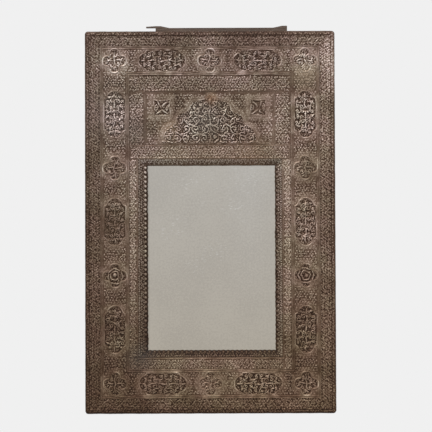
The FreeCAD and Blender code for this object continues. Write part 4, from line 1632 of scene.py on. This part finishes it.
@dataclass
class FaceSheets:
    """The flat sheets of the face: cartouche bands, borders and the crest panel."""

    layout: Layout
    ornament: Ornament
    patina: Patina
    finish: SheetFinish
    makes: dict[Motif, MotifMake] = field(default_factory=lambda: {
        Motif.CARTOUCHE: MotifMake(3.0, 0.9, 4.0, 0.40, 0.05, 0.06, 4.6, 1.0),
        Motif.QUATREFOIL: MotifMake(4.0, 1.1, 5.0, 0.34, 0.01, 0.07, 4.8, 1.2),
        Motif.BOSS: MotifMake(4.0, 0.8, 5.0, 0.26, 0.03, 0.07, 4.8, 1.0),
        Motif.TILE: MotifMake(2.8, 0.4, 2.8, 0.30, 0.02, 0.06, 5.4, 0.6),
        Motif.ARCH: MotifMake(2.8, 0.4, 2.8, 0.36, 0.13, 0.06, 4.6, 1.5)})
    pitch: float = 0.8
    panel_pitch: float = 0.7
    rib_height: float = 1.1
    side_half_length: float = 48.6
    rail_half_length: float = 49.0
    motif_margin: float = -0.3
    field_margin: float = 1.2
    foil_spread: float = 2.6
    boss_row: int = 2
    tile_radius: float = 18.5
    tile_inset: float = 31.0
    arch_size: Share = (102.6, 100.0)
    arch_base: float = 2.0
    panel_mottle: float = 0.08
    panel_waves: Waves = Waves(7, 14.0, 70.0)
    panel_margin: float = 3.0
    panel_ground_share: float = 0.7
    panel_seed: int = 5
    border_rib_inset: float = 1.0
    crest_rib_inset: float = 2.0
    vine_room: float = 1.0
    edge_room: float = 2.0
    ground_pitch: float = 5.8
    border_pitch: float = 5.4
    dome_height: float = 0.9
    dome_reach: float = 7.0
    floor_reach: float = 1.6
    floor_share: float = 0.35
    halo_middle: float = 2.4
    halo_reach: float = 7.0
    halo_wear: float = 0.62
    rim_unevenness: float = 0.55
    rim_waves: Waves = Waves(17, 10.0, 40.0)
    dull_rim: float = 2.0
    dullest_rim: float = 0.3
    well_shade: float = 0.06
    well_inset: float = 0.8
    well_reach: float = 1.8
    fill_mottle: float = 0.07
    mottle_waves: Waves = Waves(19, 5.0, 22.0)
    sway: float = 2.0
    sway_waves: tuple[Waves, Waves] = (Waves(15, 10.0, 34.0), Waves(16, 10.0, 34.0))
    fill_unevenness: float = 0.45
    fill_waves: Waves = Waves(18, 7.0, 24.0)
    fill_range: Share = (0.3, 1.7)
    fill_edge: float = 0.9
    fill_seeds: int = 997
    rib_shades: tuple[float, float, float, float] = (-0.13, -0.17, -0.16, -0.18)
    border_rib_shade: float = -0.12
    painted_rib_glint: float = 0.14
    painted_glint_waves: Waves = Waves(9, 6.0, 30.0)
    groove_shade: float = 0.015
    groove_reach: float = 3.2
    band_polish: float = 0.90
    border_polish: float = 0.84
    band_tone: float = -0.01
    crest_tone: float = -0.02
    border_tones: dict[Side, float] = field(default_factory=lambda: {
        Side.TOP: 0.05, Side.RIGHT: 0.13, Side.BOTTOM: 0.06, Side.LEFT: 0.08})
    dent_depth: float = 0.35
    band_seed: int = 11
    crest_seed: int = 21
    border_seed: int = 31
    panel_dent_seed: int = 41

    def build(self) -> None:
        """Makes all flat sheets."""
        for side in Side:
            self._band(side)
        self._crest_borders()
        self._mirror_borders()
        self._panel()

    def _lay(self, node: str, relief: Relief, seed: int) -> None:
        """Turns a relief into the piece that stands for a node.

        Args:
            node: The node that it stands for.
            relief: The finished relief.
            seed: Start of the random draws of its dents.
        """
        relief.dent(seed, self.dent_depth)
        relief.tone += self.patina.tone(relief.x, relief.z)
        relief.polish += self.patina.polish(relief.x, relief.z)
        Sheet(node, relief, FlatForm(relief.area, self.layout.sheet_front)).lay(self.finish)

    def _motif(self, relief: Relief, motif: Motif, spot: Share, size: Share, lie: Lie = Lie.LEVEL) -> None:
        """Strikes a motif with its rim, domed surround and fill.

        Args:
            relief: The sheet to strike.
            motif: Which motif.
            spot: Place of its middle or foot.
            size: Its half length and half width, or the arch's half width and height.
            lie: Which way its length runs.
        """
        outline = turned(self.ornament.outline(motif) * size, lie) + spot
        make = self.makes[motif]
        self._rim(relief, make, signed_distance(outline, relief.hand_x, relief.hand_z))
        work = PunchWork()
        work.place(self.ornament.fill(motif, np.array(size) - make.inset), *spot, lie)
        marks = work.marks
        x, z = marks[:, 0], marks[:, 1]
        sway = np.column_stack([self.sway * waves.over(x, z) for waves in self.sway_waves])
        marks[:, 3] *= (1 + self.fill_unevenness * self.fill_waves.over(x, z)).clip(*self.fill_range)
        marks[:, :2] += sway
        reach = Rect(*np.column_stack([outline.min(0), outline.max(0)]).ravel())
        seed = round(spot[0] + 3 * spot[1]) % self.fill_seeds
        small = self.ornament.ground(reach, make.seed_pitch, seed).marks
        small[:, 3] *= make.seed_share
        for each in (marks, small):
            inside = signed_distance(outline, each[:, 0], each[:, 1]) < -self.fill_edge * make.inset
            relief.strike(each[inside])

    def _rim(self, relief: Relief, make: MotifMake, distance: Array) -> None:
        """Raises a motif's rim and the dome round it, and wears both.

        Args:
            relief: The sheet to strike.
            make: How the motif is made.
            distance: Distance of each cell from the motif's outline, negative inside it.
        """
        rim = make.rim_width
        outside = np.exp(-(np.maximum(distance - self.halo_middle, 0) / self.dome_reach) ** 2)
        floor = smooth_bump(np.minimum(distance + rim, 0), self.floor_reach)
        sunk = self.floor_share + (1 - self.floor_share) * floor
        relief.form = np.maximum(relief.form, self.dome_height * np.where(distance > -rim, outside, sunk))
        worn = np.exp(-((distance - self.halo_middle) / self.halo_reach) ** 2)
        relief.punched *= np.where(distance < 0, 0.0, 1 - self.halo_wear * worn)
        relief.rib(-distance, 0.0, rim, make.rim_height)
        uneven = 1 + self.rim_unevenness * self.rim_waves.over(relief.x, relief.z)
        mottle = self.fill_mottle * self.mottle_waves.over(relief.x, relief.z)
        relief.tone += np.where(distance < -rim / 2, mottle - make.floor_shade, make.halo * worn * uneven)
        dull = (1 + self.dull_rim * self.patina.polish(relief.x, relief.z)).clip(self.dullest_rim, 1)
        relief.tone += make.rim_lift * smooth_bump(distance + rim / 2, rim / 2) * uneven * dull
        relief.tone -= self.well_shade * smooth_bump(distance + rim + self.well_inset, self.well_reach)

    def _rib(self, relief: Relief, distance: Array, first: float, shade: float) -> None:
        """Strikes one rib, its crest toned and given a painted glint, and dark in the grooves beside it.

        Args:
            relief: The sheet to strike.
            distance: Distances from the line that the rib follows.
            first: Where on those distances it starts.
            shade: How far its crest is darkened; below 0 it is made paler.
        """
        width = self.layout.rib_width
        middle = distance - first - width / 2
        relief.rib(distance, first, width, self.rib_height)
        # A painted glint that comes and goes along the rib's crest.
        painted_glint = self.painted_rib_glint * self.painted_glint_waves.over(relief.x, relief.z)
        relief.tone += (painted_glint - shade) * smooth_bump(middle, width / 2)
        relief.tone -= self.groove_shade * smooth_bump(np.abs(middle) - width / 2, self.groove_reach)

    def _places(self, side: Side) -> list[tuple[float, float, int]]:
        """Where the motifs of a band stand.

        Args:
            side: Which band; the corners belong to the upright ones.

        Returns:
            Rows of x, z and number along the side.
        """
        ring = self.layout.motif_ring
        if side.lie is Lie.UPRIGHT:
            x = ring.left if side is Side.LEFT else ring.right
            rows = np.linspace(ring.low, ring.high, self.layout.side_steps + 1)
            return [(x, z, index) for index, z in enumerate(rows)]
        z = ring.high if side is Side.TOP else ring.low
        columns = np.linspace(ring.left, ring.right, self.layout.rail_steps + 1)
        return [(x, z, index) for index, x in enumerate(columns)][1:-1]

    def _band(self, side: Side) -> None:
        """Makes one cartouche band.

        Args:
            side: Which band.
        """
        layout = self.layout
        node = f"cartouche_band_{side.label}"
        relief = Relief(Rect.of_node(node), self.pitch)
        relief.tone += self.band_tone
        relief.polish *= self.band_polish
        low, high = layout.band_room
        ground = self.ornament.ground(relief.area, self.ground_pitch, seed=len(side.label)).marks
        depth = layout.outline.depth_inside(ground[:, 0], ground[:, 1])
        relief.strike(ground[(depth > low + self.field_margin) & (depth < high - self.field_margin)])
        upright = side.lie is Lie.UPRIGHT
        radius = layout.cartouche_field / 2 - self.motif_margin
        long = (self.side_half_length if upright else self.rail_half_length, radius)
        round_size = (radius + self.foil_spread, radius + self.foil_spread)
        for x, z, index in self._places(side):
            if index % 2:
                self._motif(relief, Motif.CARTOUCHE, (x, z), long, side.lie)
            else:
                boss = upright and index == self.boss_row
                self._motif(relief, Motif.BOSS if boss else Motif.QUATREFOIL, (x, z), round_size)
        inside = layout.outline.depth_inside(relief.hand_x, relief.hand_z)
        step = layout.rib_width + layout.rib_gap
        firsts = (layout.edge_band, layout.edge_band + step, high, high + step)
        for first, shade in zip(firsts, self.rib_shades):
            self._rib(relief, inside, first, shade)
        self._lay(node, relief, self.band_seed + len(side.label))

    def _border(self, node: str, side: Side, trims: tuple[float, float, float, float], line: Rect,
                first: float, tone: float, seed: int) -> None:
        """Makes one border strip with a vine and a rib.

        Args:
            node: The node that it stands for.
            side: Which side it lies on.
            trims: Room between the vine and the strip's left, right, low and high edge.
            line: The rectangle that the rib runs round, or inside where it is the strip's own.
            first: How far from that line the rib starts.
            tone: How much paler the strip is.
            seed: Start of the random draws.
        """
        area = Rect.of_node(node)
        relief = Relief(area, self.pitch)
        relief.tone += tone
        zone = area.trimmed(*trims)
        length, width = (zone.width, zone.height) if side.lie is Lie.LEVEL else (zone.height, zone.width)
        work = PunchWork()
        work.place(self.ornament.vine(length, width), *zone.middle, side.lie)
        relief.strike(work.marks)
        relief.strike(self.ornament.ground(zone, self.border_pitch, seed).marks)
        relief.polish *= self.border_polish
        inside = line.depth_inside(relief.hand_x, relief.hand_z)
        self._rib(relief, inside if line == area else -inside, first, self.border_rib_shade)
        self._lay(node, relief, seed)

    def _crest_borders(self) -> None:
        """Makes the three strips round the crest panel."""
        panel = Rect.of_node("crest_panel")
        first, near, wide = self.crest_rib_inset, self.vine_room, self.edge_room
        room = first + self.layout.rib_width + near
        all_trims = {Side.TOP: (wide, wide, room, wide), Side.LEFT: (wide, room, near, near),
                     Side.RIGHT: (room, wide, near, near)}
        for side, trims in all_trims.items():
            seed = self.crest_seed + len(side.label)
            self._border(f"crest_border_{side.label}", side, trims, panel, first, self.crest_tone, seed)

    def _mirror_borders(self) -> None:
        """Makes the cross strip and the three strips beside and below the glass."""
        first, near, wide = self.border_rib_inset, self.vine_room, self.edge_room
        room = first + self.layout.rib_width + near
        all_trims = {Side.TOP: (room, room, room, room), Side.RIGHT: (room, near, near, near),
                     Side.BOTTOM: (near, near, wide, room), Side.LEFT: (near, room, near, near)}
        for side, trims in all_trims.items():
            node = f"mirror_border_{side.label}"
            line = Rect.of_node(node) if side is Side.TOP else self.layout.sight
            seed = self.border_seed + len(side.label)
            self._border(node, side, trims, line, first, self.border_tones[side], seed)

    def _panel(self) -> None:
        """Makes the crest panel with its arch and two square corner motifs."""
        node = "crest_panel"
        area = Rect.of_node(node)
        relief = Relief(area, self.panel_pitch)
        relief.tone += self.panel_mottle * self.panel_waves.over(relief.x, relief.z)
        ground = self.ornament.ground(area.inset(self.panel_margin), self.ground_pitch, self.panel_seed).marks
        ground[:, 3] *= self.panel_ground_share
        relief.strike(ground)
        self._motif(relief, Motif.ARCH, (area.middle[0], area.low + self.arch_base), self.arch_size)
        tile = (self.tile_radius, self.tile_radius)
        for x in (area.left + self.tile_inset, area.right - self.tile_inset):
            self._motif(relief, Motif.TILE, (x, area.high - self.tile_inset), tile)
        self._lay(node, relief, self.panel_dent_seed)


@dataclass
class EdgeStrips:
    """The four scroll bands that are folded over the outer edge of the frame, and their tacks."""

    layout: Layout
    ornament: Ornament
    patina: Patina
    finish: SheetFinish
    pitch: float = 0.95
    nose: float = 4.0
    corner: float = 6.0
    setback: float = 1.0
    rib_inset: float = 6.5
    rib_height: float = 1.5
    # rib_shades: painted shade along the rib by the outer edge, deepest at the top.
    rib_shades: dict[Side, float] = field(default_factory=lambda: {
        Side.TOP: 0.26, Side.RIGHT: 0.06, Side.BOTTOM: 0.06, Side.LEFT: 0.10})
    rib_shade_reach: float = 1.5
    vine_foot: float = 0.8
    vine_gap: float = 1.0
    seed_pitch: float = 5.4
    ground_seed: int = 71
    nose_shade: float = 0.15
    nose_share: float = 0.25
    foot_shade: float = 0.15
    foot_reach: float = 16.0
    side_tones: dict[Side, float] = field(default_factory=lambda: {
        Side.TOP: -0.09, Side.RIGHT: -0.015, Side.BOTTOM: -0.045, Side.LEFT: -0.105})
    dent_depth: float = 0.3
    dent_seed: int = 51
    tack_pitch: float = 58.0
    tack_radius: float = 2.3
    tack_height: float = 1.1
    tack_depth: float = -14.5
    tack_smooth_angle: float = 60.0

    def build(self) -> None:
        """Makes the strips and the tacks."""
        for index, side in enumerate(Side):
            self._strip(side, index)
        self._tacks()

    def _strip(self, side: Side, index: int) -> None:
        """Makes one strip.

        Args:
            side: Which side it lies on.
            index: Number of the side, for the random draws.
        """
        layout = self.layout
        band = layout.edge_band
        form = EdgeForm(side, layout.outline, band, self.nose, self.corner, layout.sheet_front,
                        layout.wood_back - self.setback)
        half = layout.outline.half(side.along)
        relief = Relief(Rect(-half, half, 0.0, form.span), self.pitch)
        zone = Rect(-half, half, self.vine_foot, band - self.rib_inset - layout.rib_width - self.vine_gap)
        work = PunchWork()
        work.place(self.ornament.vine(zone.width, zone.height), 0.0, zone.middle[1])
        relief.strike(work.marks)
        rolled = Rect(-half, half, self.vine_foot, band)
        seeds = self.ornament.ground(rolled, self.seed_pitch, self.ground_seed + index).marks
        seeds[:, 3] *= np.clip((band - seeds[:, 1]) / self.rib_inset, self.nose_share, 1)
        relief.strike(seeds)
        inset = form.inset_at(relief.z)
        relief.rib(inset, self.rib_inset, layout.rib_width, self.rib_height)
        crest = self.rib_inset + layout.rib_width / 2
        shaded = smooth_bump(inset - crest, self.rib_shade_reach * layout.rib_width)
        relief.tone -= self.rib_shades[side] * shaded
        beyond = relief.z - band
        # Painted shade on the rolled nose as it turns away from the light, deeper under the foot.
        relief.tone -= self.nose_shade * np.clip(beyond / self.nose + 1, 0, 1)
        if side is Side.BOTTOM:
            relief.tone -= self.foot_shade * np.clip(beyond / self.foot_reach + 1, 0, 1)
        relief.tone += self.side_tones[side]
        spots = form.place((relief.x / (2 * half) + 0.5).ravel(), relief.z.ravel())[0]
        relief.tone += self.patina.tone(spots[:, 0], spots[:, 2]).reshape(relief.x.shape)
        relief.dent(self.dent_seed + index, self.dent_depth)
        Sheet(f"edge_strip_{side.label}", relief, form, closed_back=False).lay(self.finish)

    def _tacks(self) -> None:
        """Makes the small round-headed tacks along the outer edge."""
        shape = bmesh.new()
        outline = self.layout.outline
        flat = self.tack_height / self.tack_radius
        for side in Side:
            half_along, half_out = outline.half(side.along), outline.half(side.out)
            count = round(2 * half_along / self.tack_pitch)
            for place in (np.arange(count) + 0.5) / count:
                x, z = outline.middle + side.along * (2 * place - 1) * half_along + side.out * half_out
                head = bmesh.ops.create_uvsphere(shape, u_segments=10, v_segments=6, radius=self.tack_radius)
                bmesh.ops.scale(shape, verts=head["verts"], vec=(
                    flat if side.out[0] else 1.0, 1.0, flat if side.out[1] else 1.0))
                bmesh.ops.translate(shape, verts=head["verts"], vec=(x, self.tack_depth, z))
        mesh = Workshop.from_bmesh("edge_tacks", shape, self.tack_smooth_angle)
        Workshop.piece("edge_tacks", mesh, IronFinish(), "iron")


@dataclass(frozen=True)
class SightEdge:
    """How one sight strip is beaded and toned, and how far its lip strays and bulges over the glass."""

    bead_radius: float
    bead_height: float
    bead_inset: float
    bead_shade: float
    tone: float
    wobble: float
    scallop: float


@dataclass
class SightStrips:
    """The four sloping strips with their rows of beads beside the glass."""

    layout: Layout
    ornament: Ornament
    finish: SheetFinish
    edges: dict[Side, SightEdge] = field(default_factory=lambda: {
        Side.TOP: SightEdge(2.2, 0.45, 4.2, 0.18, 0.26, 0.8, 0.0),
        Side.RIGHT: SightEdge(2.6, 0.5, 2.4, 0.12, 0.14, 1.4, 0.8),
        # The foot strip's dark tone is painted shadow on its slope.
        Side.BOTTOM: SightEdge(2.8, 0.9, 2.6, 0.18, -0.21, 0.6, 1.1),
        Side.LEFT: SightEdge(3.0, 1.7, 4.2, 0.18, 0.02, 1.2, 0.7)})
    pitch: float = 0.6
    sight_lip: float = 3.3
    bead_pitch: float = 9.3
    bead_unevenness: float = 0.4
    bead_seed: int = 61
    bead_shade_reach: float = 6.0
    left_fade: Share = (0.35, 1.0)
    left_painted_highlight: Share = (-0.06, 0.30)
    painted_highlight_reach: float = 1.6
    seed_pitch: float = 5.2
    seed_margin: float = 1.0
    ground_seed: int = 81
    dot_radius: float = 1.1
    dot_height: float = 0.7
    dot_pitch: float = 4.4
    dot_inset: float = 2.2
    lip_waves: Waves = Waves(13, 8.0, 45.0)
    lip_step: float = 40.0

    def build(self) -> None:
        """Makes the four strips."""
        for index, side in enumerate(Side):
            self._strip(side, index)

    def _strip(self, side: Side, index: int) -> None:
        """Makes one strip.

        Args:
            side: Which side it lies on.
            index: Number of the side, for the random draws.
        """
        layout, edge = self.layout, self.edges[side]
        form = SlopeForm(side, layout.sight, layout.opening, layout.sheet_front,
                         layout.glass_front - self.sight_lip, layout.glass_front)
        start, end = form.ends
        span, top = end - start, form.lip + form.slope
        margin = max(layout.opening.left - layout.sight.left, layout.sight.right - layout.opening.right)
        relief = Relief(Rect(start - margin, end + margin, 0.0, top), self.pitch)
        row = form.lip + edge.bead_inset
        work = PunchWork()
        count = max(2, round(span / self.bead_pitch))
        for place in (np.arange(count) + 0.5) / count:
            fade = np.interp(place, (0, 1), self.left_fade) if side is Side.LEFT else 1.0
            work.dot(start + place * span, row, edge.bead_radius, edge.bead_height * fade)
        work.vary(self.bead_seed + index, self.bead_unevenness)
        for x in np.arange(start - margin, end + margin, self.dot_pitch):
            work.dot(x, top - self.dot_inset, self.dot_radius, self.dot_height)
        seeded = Rect(start - margin, end + margin, row + edge.bead_radius + self.seed_margin,
                      top - self.seed_margin)
        relief.strike(self.ornament.ground(seeded, self.seed_pitch, self.ground_seed + index).marks)
        relief.strike(work.marks)
        # bead_shade paints shade along the bead row beside the glass; the foot strip's dark tone is painted
        # shadow.
        relief.tone += edge.tone - edge.bead_shade * smooth_bump(relief.z - row, self.bead_shade_reach)
        # Painted highlight on the left beads, growing towards the top, with a little painted shade at the
        # foot.
        if side is Side.LEFT:
            painted_highlight = np.interp(relief.x, (start, end), self.left_painted_highlight)
            relief.tone += painted_highlight * smooth_bump(relief.z - row, self.painted_highlight_reach * edge.bead_radius)
        wave = 0.5 + 0.5 * self.lip_waves.over(relief.x, np.full_like(relief.z, self.lip_step * index))
        scallop = 0.5 - 0.5 * np.cos(FULL_TURN * count * (relief.x - start) / span)
        bulge = edge.wobble * wave.clip(0, 1) + edge.scallop * scallop
        relief.form += bulge * np.clip(form.lip - relief.z, 0, 1)
        node = f"sight_strip_{side.label}"
        Sheet(node, relief, form, closed_back=False).lay(self.finish)
        LOG.info("beads on %s: %d", node, count)


@dataclass
class WoodAndGlass:
    """The pegged core, the plank back, the batten and the mirror glass."""

    glass: MirrorFinish
    stile: WoodFinish = WoodFinish("stile_wood", Lie.UPRIGHT)
    rail: WoodFinish = WoodFinish("rail_wood", Lie.LEVEL, (0.044, 0.026, 0.016), (0.150, 0.094, 0.058))
    board: WoodFinish = WoodFinish("board_wood", Lie.LEVEL, (0.052, 0.032, 0.020), (0.180, 0.118, 0.074))
    peg: WoodFinish = WoodFinish("peg_wood", Lie.LEVEL, (0.030, 0.018, 0.011), (0.085, 0.052, 0.032))
    warm_plank: WoodFinish = WoodFinish(
        "warm_plank_wood", Lie.UPRIGHT, (0.062, 0.038, 0.023), (0.205, 0.134, 0.084))
    grey_plank: WoodFinish = WoodFinish(
        "grey_plank_wood", Lie.UPRIGHT, (0.060, 0.043, 0.031), (0.185, 0.136, 0.098))
    batten: WoodFinish = WoodFinish("batten_wood", Lie.LEVEL, (0.042, 0.025, 0.016), (0.102, 0.064, 0.041))

    def dress(self) -> None:
        """Gives each node its finish."""
        finishes: dict[Finish, tuple[str, ...]] = {
            self.stile: ("left_stile", "right_stile", "glazing_fillet_left", "glazing_fillet_right"),
            self.rail: ("top_rail", "cross_rail", "bottom_rail", "glazing_fillet_top",
                        "glazing_fillet_bottom"),
            self.board: ("crest_board",),
            self.peg: ("joint_pegs",),
            self.warm_plank: ("back_plank_left", "back_plank_right"),
            self.grey_plank: ("back_plank_middle",),
            self.batten: ("hanging_batten",),
            self.glass: ("mirror_glass",),
        }
        for finish, nodes in finishes.items():
            for node in nodes:
                Workshop.dress(node, finish)


@dataclass(frozen=True)
class ScrewHead:
    """A slotted head: radius of its outer face, height, and the neck as a share of that radius."""

    radius: float
    height: float
    neck_share: float


@dataclass
class Ironwork:
    """Hanger straps, rings, screws and nails."""

    finish: IronFinish = IronFinish()
    bar_radius: float = 1.6
    bar_facets: int = 4
    ring_bend: float = 2.4
    bend_steps: int = 7
    bow_steps: int = 33
    batten_head: ScrewHead = ScrewHead(4.2, 2.4, 0.35)
    batten_screws: tuple[Spot, ...] = (
        (-73.0, -0.2, 424.0), (-8.7, -0.2, 424.0), (55.7, -0.2, 424.0), (120.0, -0.2, 424.0))
    hanger_head: ScrewHead = ScrewHead(3.6, 1.9, 1.25)
    hanger_axis: float = 178.0
    hanger_level: float = 289.0
    hanger_face: float = -6.5
    hanger_steps: Share = (28.0, 43.0)
    slot_width: float = 1.1
    slot_depth: float = 0.9
    slot_turns: Share = (0.5, 1.1)
    head_sides: int = 24
    shank_sides: int = 12
    shank_shares: Share = (0.2, 0.45)
    face_up: float = 0.9
    smooth_angle: float = 35.0

    def build(self) -> None:
        """Makes the round-bar rings and the slotted screws."""
        for side in ("left", "right"):
            self._ring(side)
        self._screws("batten_screw_heads", "batten_screws", self.batten_screws, self.batten_head)
        top = self.hanger_face + self.hanger_head.height
        places = tuple((sign * (self.hanger_axis + step), top, self.hanger_level)
                       for sign in (-1, 1) for step in self.hanger_steps)
        self._screws("hanger_screw_heads", "hanger_screws", places, self.hanger_head)

    def dress(self) -> None:
        """Gives the nodes that stay in view their finish."""
        for node in ("left_hanger_strap", "right_hanger_strap", "plank_nails"):
            Workshop.dress(node, self.finish)

    def _ring(self, side: str) -> None:
        """Bends one D ring from round bar, in the outline of its node.

        Args:
            side: Which ring, left or right.
        """
        node = f"{side}_hanging_ring"
        outline = Rect.of_node(node).inset(self.bar_radius)
        depth = sum(corner.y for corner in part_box(node)) / 2
        inwards, axis = (1, outline.left) if side == "left" else (-1, outline.right)
        half, bend = outline.height / 2, self.ring_bend
        quarter = np.linspace(0, QUARTER_TURN, self.bend_steps)
        bow = np.linspace(QUARTER_TURN, -QUARTER_TURN, self.bow_steps)
        corner = np.column_stack([bend - bend * np.cos(quarter), half - bend + bend * np.sin(quarter)])
        arc = np.column_stack([outline.width - half + half * np.cos(bow), half * np.sin(bow)])
        path = np.concatenate([corner, arc, (corner * (1, -1))[::-1]])
        curve = bpy.data.curves.new(node, "CURVE")
        curve.dimensions = "3D"
        curve.bevel_depth = self.bar_radius * MM
        curve.bevel_resolution = self.bar_facets
        spline = curve.splines.new("POLY")
        spline.points.add(len(path) - 1)
        spline.use_cyclic_u = True
        for point, (along, rise) in zip(spline.points, path):
            point.co = ((axis + inwards * along) * MM, depth, (outline.middle[1] + rise) * MM, 1.0)
        bent = bpy.data.objects.new(f"{node}_curve", curve)
        mesh = bpy.data.meshes.new_from_object(bent)
        bpy.data.objects.remove(bent)
        mesh.shade_smooth()
        Workshop.piece(f"{node}_bar", mesh, self.finish, "iron", node, body=f"{side}_ring")

    def _screws(self, name: str, node: str, places: Iterable[Spot], head: ScrewHead) -> None:
        """Turns a row of slotted screws that face backwards.

        Args:
            name: The piece's name.
            node: The node that it stands for.
            places: Middle of each head's outer face.
            head: Sizes of the heads.
        """
        shape = bmesh.new()
        reach = -min(corner.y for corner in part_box(node)) / MM
        low_share, high_share = self.shank_shares
        first, step = self.slot_turns
        for index, place in enumerate(places):
            length = reach + place[1] - head.height
            own = self._head(shape, head)
            rod = bmesh.ops.create_cone(
                shape, cap_ends=True, segments=self.shank_sides, radius1=low_share * head.radius,
                radius2=high_share * head.radius, depth=length)["verts"]
            bmesh.ops.translate(shape, verts=rod, vec=(0, 0, -head.height - length / 2))
            screw = list(own | set(rod))
            bmesh.ops.rotate(shape, verts=screw, matrix=Matrix.Rotation(first + step * index, 3, "Z"))
            bmesh.ops.rotate(shape, verts=screw, matrix=Matrix.Rotation(-QUARTER_TURN, 3, "X"))
            bmesh.ops.translate(shape, verts=screw, vec=place)
        Workshop.piece(name, Workshop.from_bmesh(name, shape, self.smooth_angle), self.finish, "iron", node)

    def _head(self, shape: bmesh.types.BMesh, head: ScrewHead) -> set[bmesh.types.BMVert]:
        """Turns one head that faces up, with its slot along Y.

        Args:
            shape: Where to make it.
            head: Its sizes.

        Returns:
            Its points.
        """
        points = bmesh.ops.create_cone(
            shape, cap_ends=True, segments=self.head_sides, radius1=head.radius * head.neck_share,
            radius2=head.radius, depth=head.height)["verts"]
        bmesh.ops.translate(shape, verts=points, vec=(0, 0, -head.height / 2))
        own, half = set(points), self.slot_width / 2
        for wall in (-half, half):
            faces = {face for vert in own for face in vert.link_faces}
            edges = {edge for vert in own for edge in vert.link_edges}
            cut = bmesh.ops.bisect_plane(shape, geom=[*own, *edges, *faces], plane_co=(wall, 0, 0),
                                         plane_no=(1, 0, 0))
            own |= {item for item in cut["geom_cut"] if isinstance(item, bmesh.types.BMVert)}
        slot = [face for face in {face for vert in own for face in vert.link_faces}
                if face.normal.z > self.face_up and abs(face.calc_center_median().x) < half]
        floor = bmesh.ops.extrude_face_region(shape, geom=slot)["geom"]
        lower = [item for item in floor if isinstance(item, bmesh.types.BMVert)]
        bmesh.ops.translate(shape, verts=lower, vec=(0, 0, -self.slot_depth))
        bmesh.ops.delete(shape, geom=slot, context="FACES_ONLY")
        return own | set(lower)


@dataclass
class Studio:
    """Camera, floor, soft lights and a pale background."""

    aim: Spot = (0.0115, -0.03, 0.0835)
    distance: float = 3.0
    field_width: float = 0.862
    below: float = 1.3
    roll: float = -0.2
    sensor: float = 36.0
    backdrop: float = 0.8714
    sky: float = 0.42
    floor_level: float = -1.1
    floor_size: float = 8.0
    floor_colour: Colour = (0.80, 0.80, 0.80)
    floor_roughness: float = 0.9
    lights: tuple[tuple[str, Spot, float, float], ...] = (
        ("key", (-0.8, -1.7, 2.5), 0.9, 100.0), ("fill", (1.8, -2.4, 0.9), 2.0, 26.0),
        ("back", (0.9, 2.6, 1.6), 2.0, 60.0))

    def build(self) -> None:
        """Sets up the studio."""
        bpy.context.scene.view_settings.view_transform = "Standard"
        self._camera()
        self._world()
        self._floor()
        for name, place, size, power in self.lights:
            self._light(name, place, size, power)

    @staticmethod
    def _stand(name: str, data: Any, place: Iterable[float], turn: Any) -> bpy.types.Object:
        """Stands a camera or a light in the studio.

        Args:
            name: Its name.
            data: The camera or light itself.
            place: Where it stands.
            turn: Which way it faces.

        Returns:
            The new object.
        """
        stood = bpy.data.objects.new(name, data)
        bpy.context.scene.collection.objects.link(stood)
        stood.location = place
        stood.rotation_mode = "QUATERNION"
        stood.rotation_quaternion = turn
        return stood

    def _camera(self) -> None:
        """Stands the camera where the photograph was taken from."""
        data = bpy.data.cameras.new("camera")
        data.sensor_width = self.sensor
        data.lens = self.sensor * self.distance / self.field_width
        tilt = math.radians(self.below)
        back = Vector((0.0, -math.cos(tilt), -math.sin(tilt)))
        level = (-back).to_track_quat("-Z", "Y").to_matrix().to_4x4()
        rolled = Matrix.Rotation(math.radians(self.roll), 4, back) @ level
        camera = self._stand("camera", data, Vector(self.aim) + back * self.distance, rolled.to_quaternion())
        bpy.context.scene.camera = camera

    def _world(self) -> None:
        """Gives soft light all round, and a pale background to what looks at it."""
        world = bpy.data.worlds.new("studio")
        world.use_nodes = True
        bpy.context.scene.world = world
        board = NodeBoard(world.node_tree)
        rays = board.add("ShaderNodeLightPath").outputs
        mirrored = board.math("MAXIMUM", rays["Is Glossy Ray"], rays["Is Transmission Ray"])
        seen = board.math("MAXIMUM", rays["Is Camera Ray"], mirrored)
        board.feed(world.node_tree.nodes["Background"], {
            "Color": (1.0, 1.0, 1.0, 1.0), "Strength": board.spread(seen, 0.0, 1.0, self.sky, self.backdrop)})

    def _floor(self) -> None:
        """Lays a plain pale floor well below the hanging mirror."""
        shape = bmesh.new()
        bmesh.ops.create_grid(shape, x_segments=1, y_segments=1, size=self.floor_size / 2)
        mesh = bpy.data.meshes.new("floor")
        shape.to_mesh(mesh)
        shape.free()
        mesh.transform(Matrix.Translation((0.0, 0.0, self.floor_level)))
        floor = bpy.data.objects.new("floor", mesh)
        bpy.context.scene.collection.objects.link(floor)
        material, board, shader = new_material("pale_floor")
        board.feed(shader, {"Base Color": (*self.floor_colour, 1.0), "Roughness": self.floor_roughness})
        mesh.materials.append(material)

    def _light(self, name: str, place: Spot, size: float, power: float) -> None:
        """Hangs one soft light that faces the mirror.

        Args:
            name: Its name.
            place: Where it hangs.
            size: Length of its sides.
            power: Its power in watts.
        """
        data = bpy.data.lights.new(name, "AREA")
        data.shape = "SQUARE"
        data.size = size
        data.energy = power
        turn = (Vector(self.aim) - Vector(place)).to_track_quat("-Z", "Y")
        self._stand(name, data, place, turn).visible_camera = False


def main() -> None:
    """Builds every piece in order."""
    logging.basicConfig(level=logging.INFO, format="%(name)s: %(message)s")
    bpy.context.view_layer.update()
    layout, ornament, patina, sheet = Layout(), Ornament(), Patina(), SheetFinish()
    FaceSheets(layout, ornament, patina, sheet).build()
    EdgeStrips(layout, ornament, patina, sheet).build()
    # The sight strips take a darker copy of the sheet: painted shade of the recess round the glass.
    SightStrips(layout, ornament, SheetFinish("sight_sheet", 0.72)).build()
    WoodAndGlass(MirrorFinish(layout.opening)).dress()
    ironwork = Ironwork()
    ironwork.build()
    ironwork.dress()
    Studio().build()


if __name__ == "__main__":
    main()
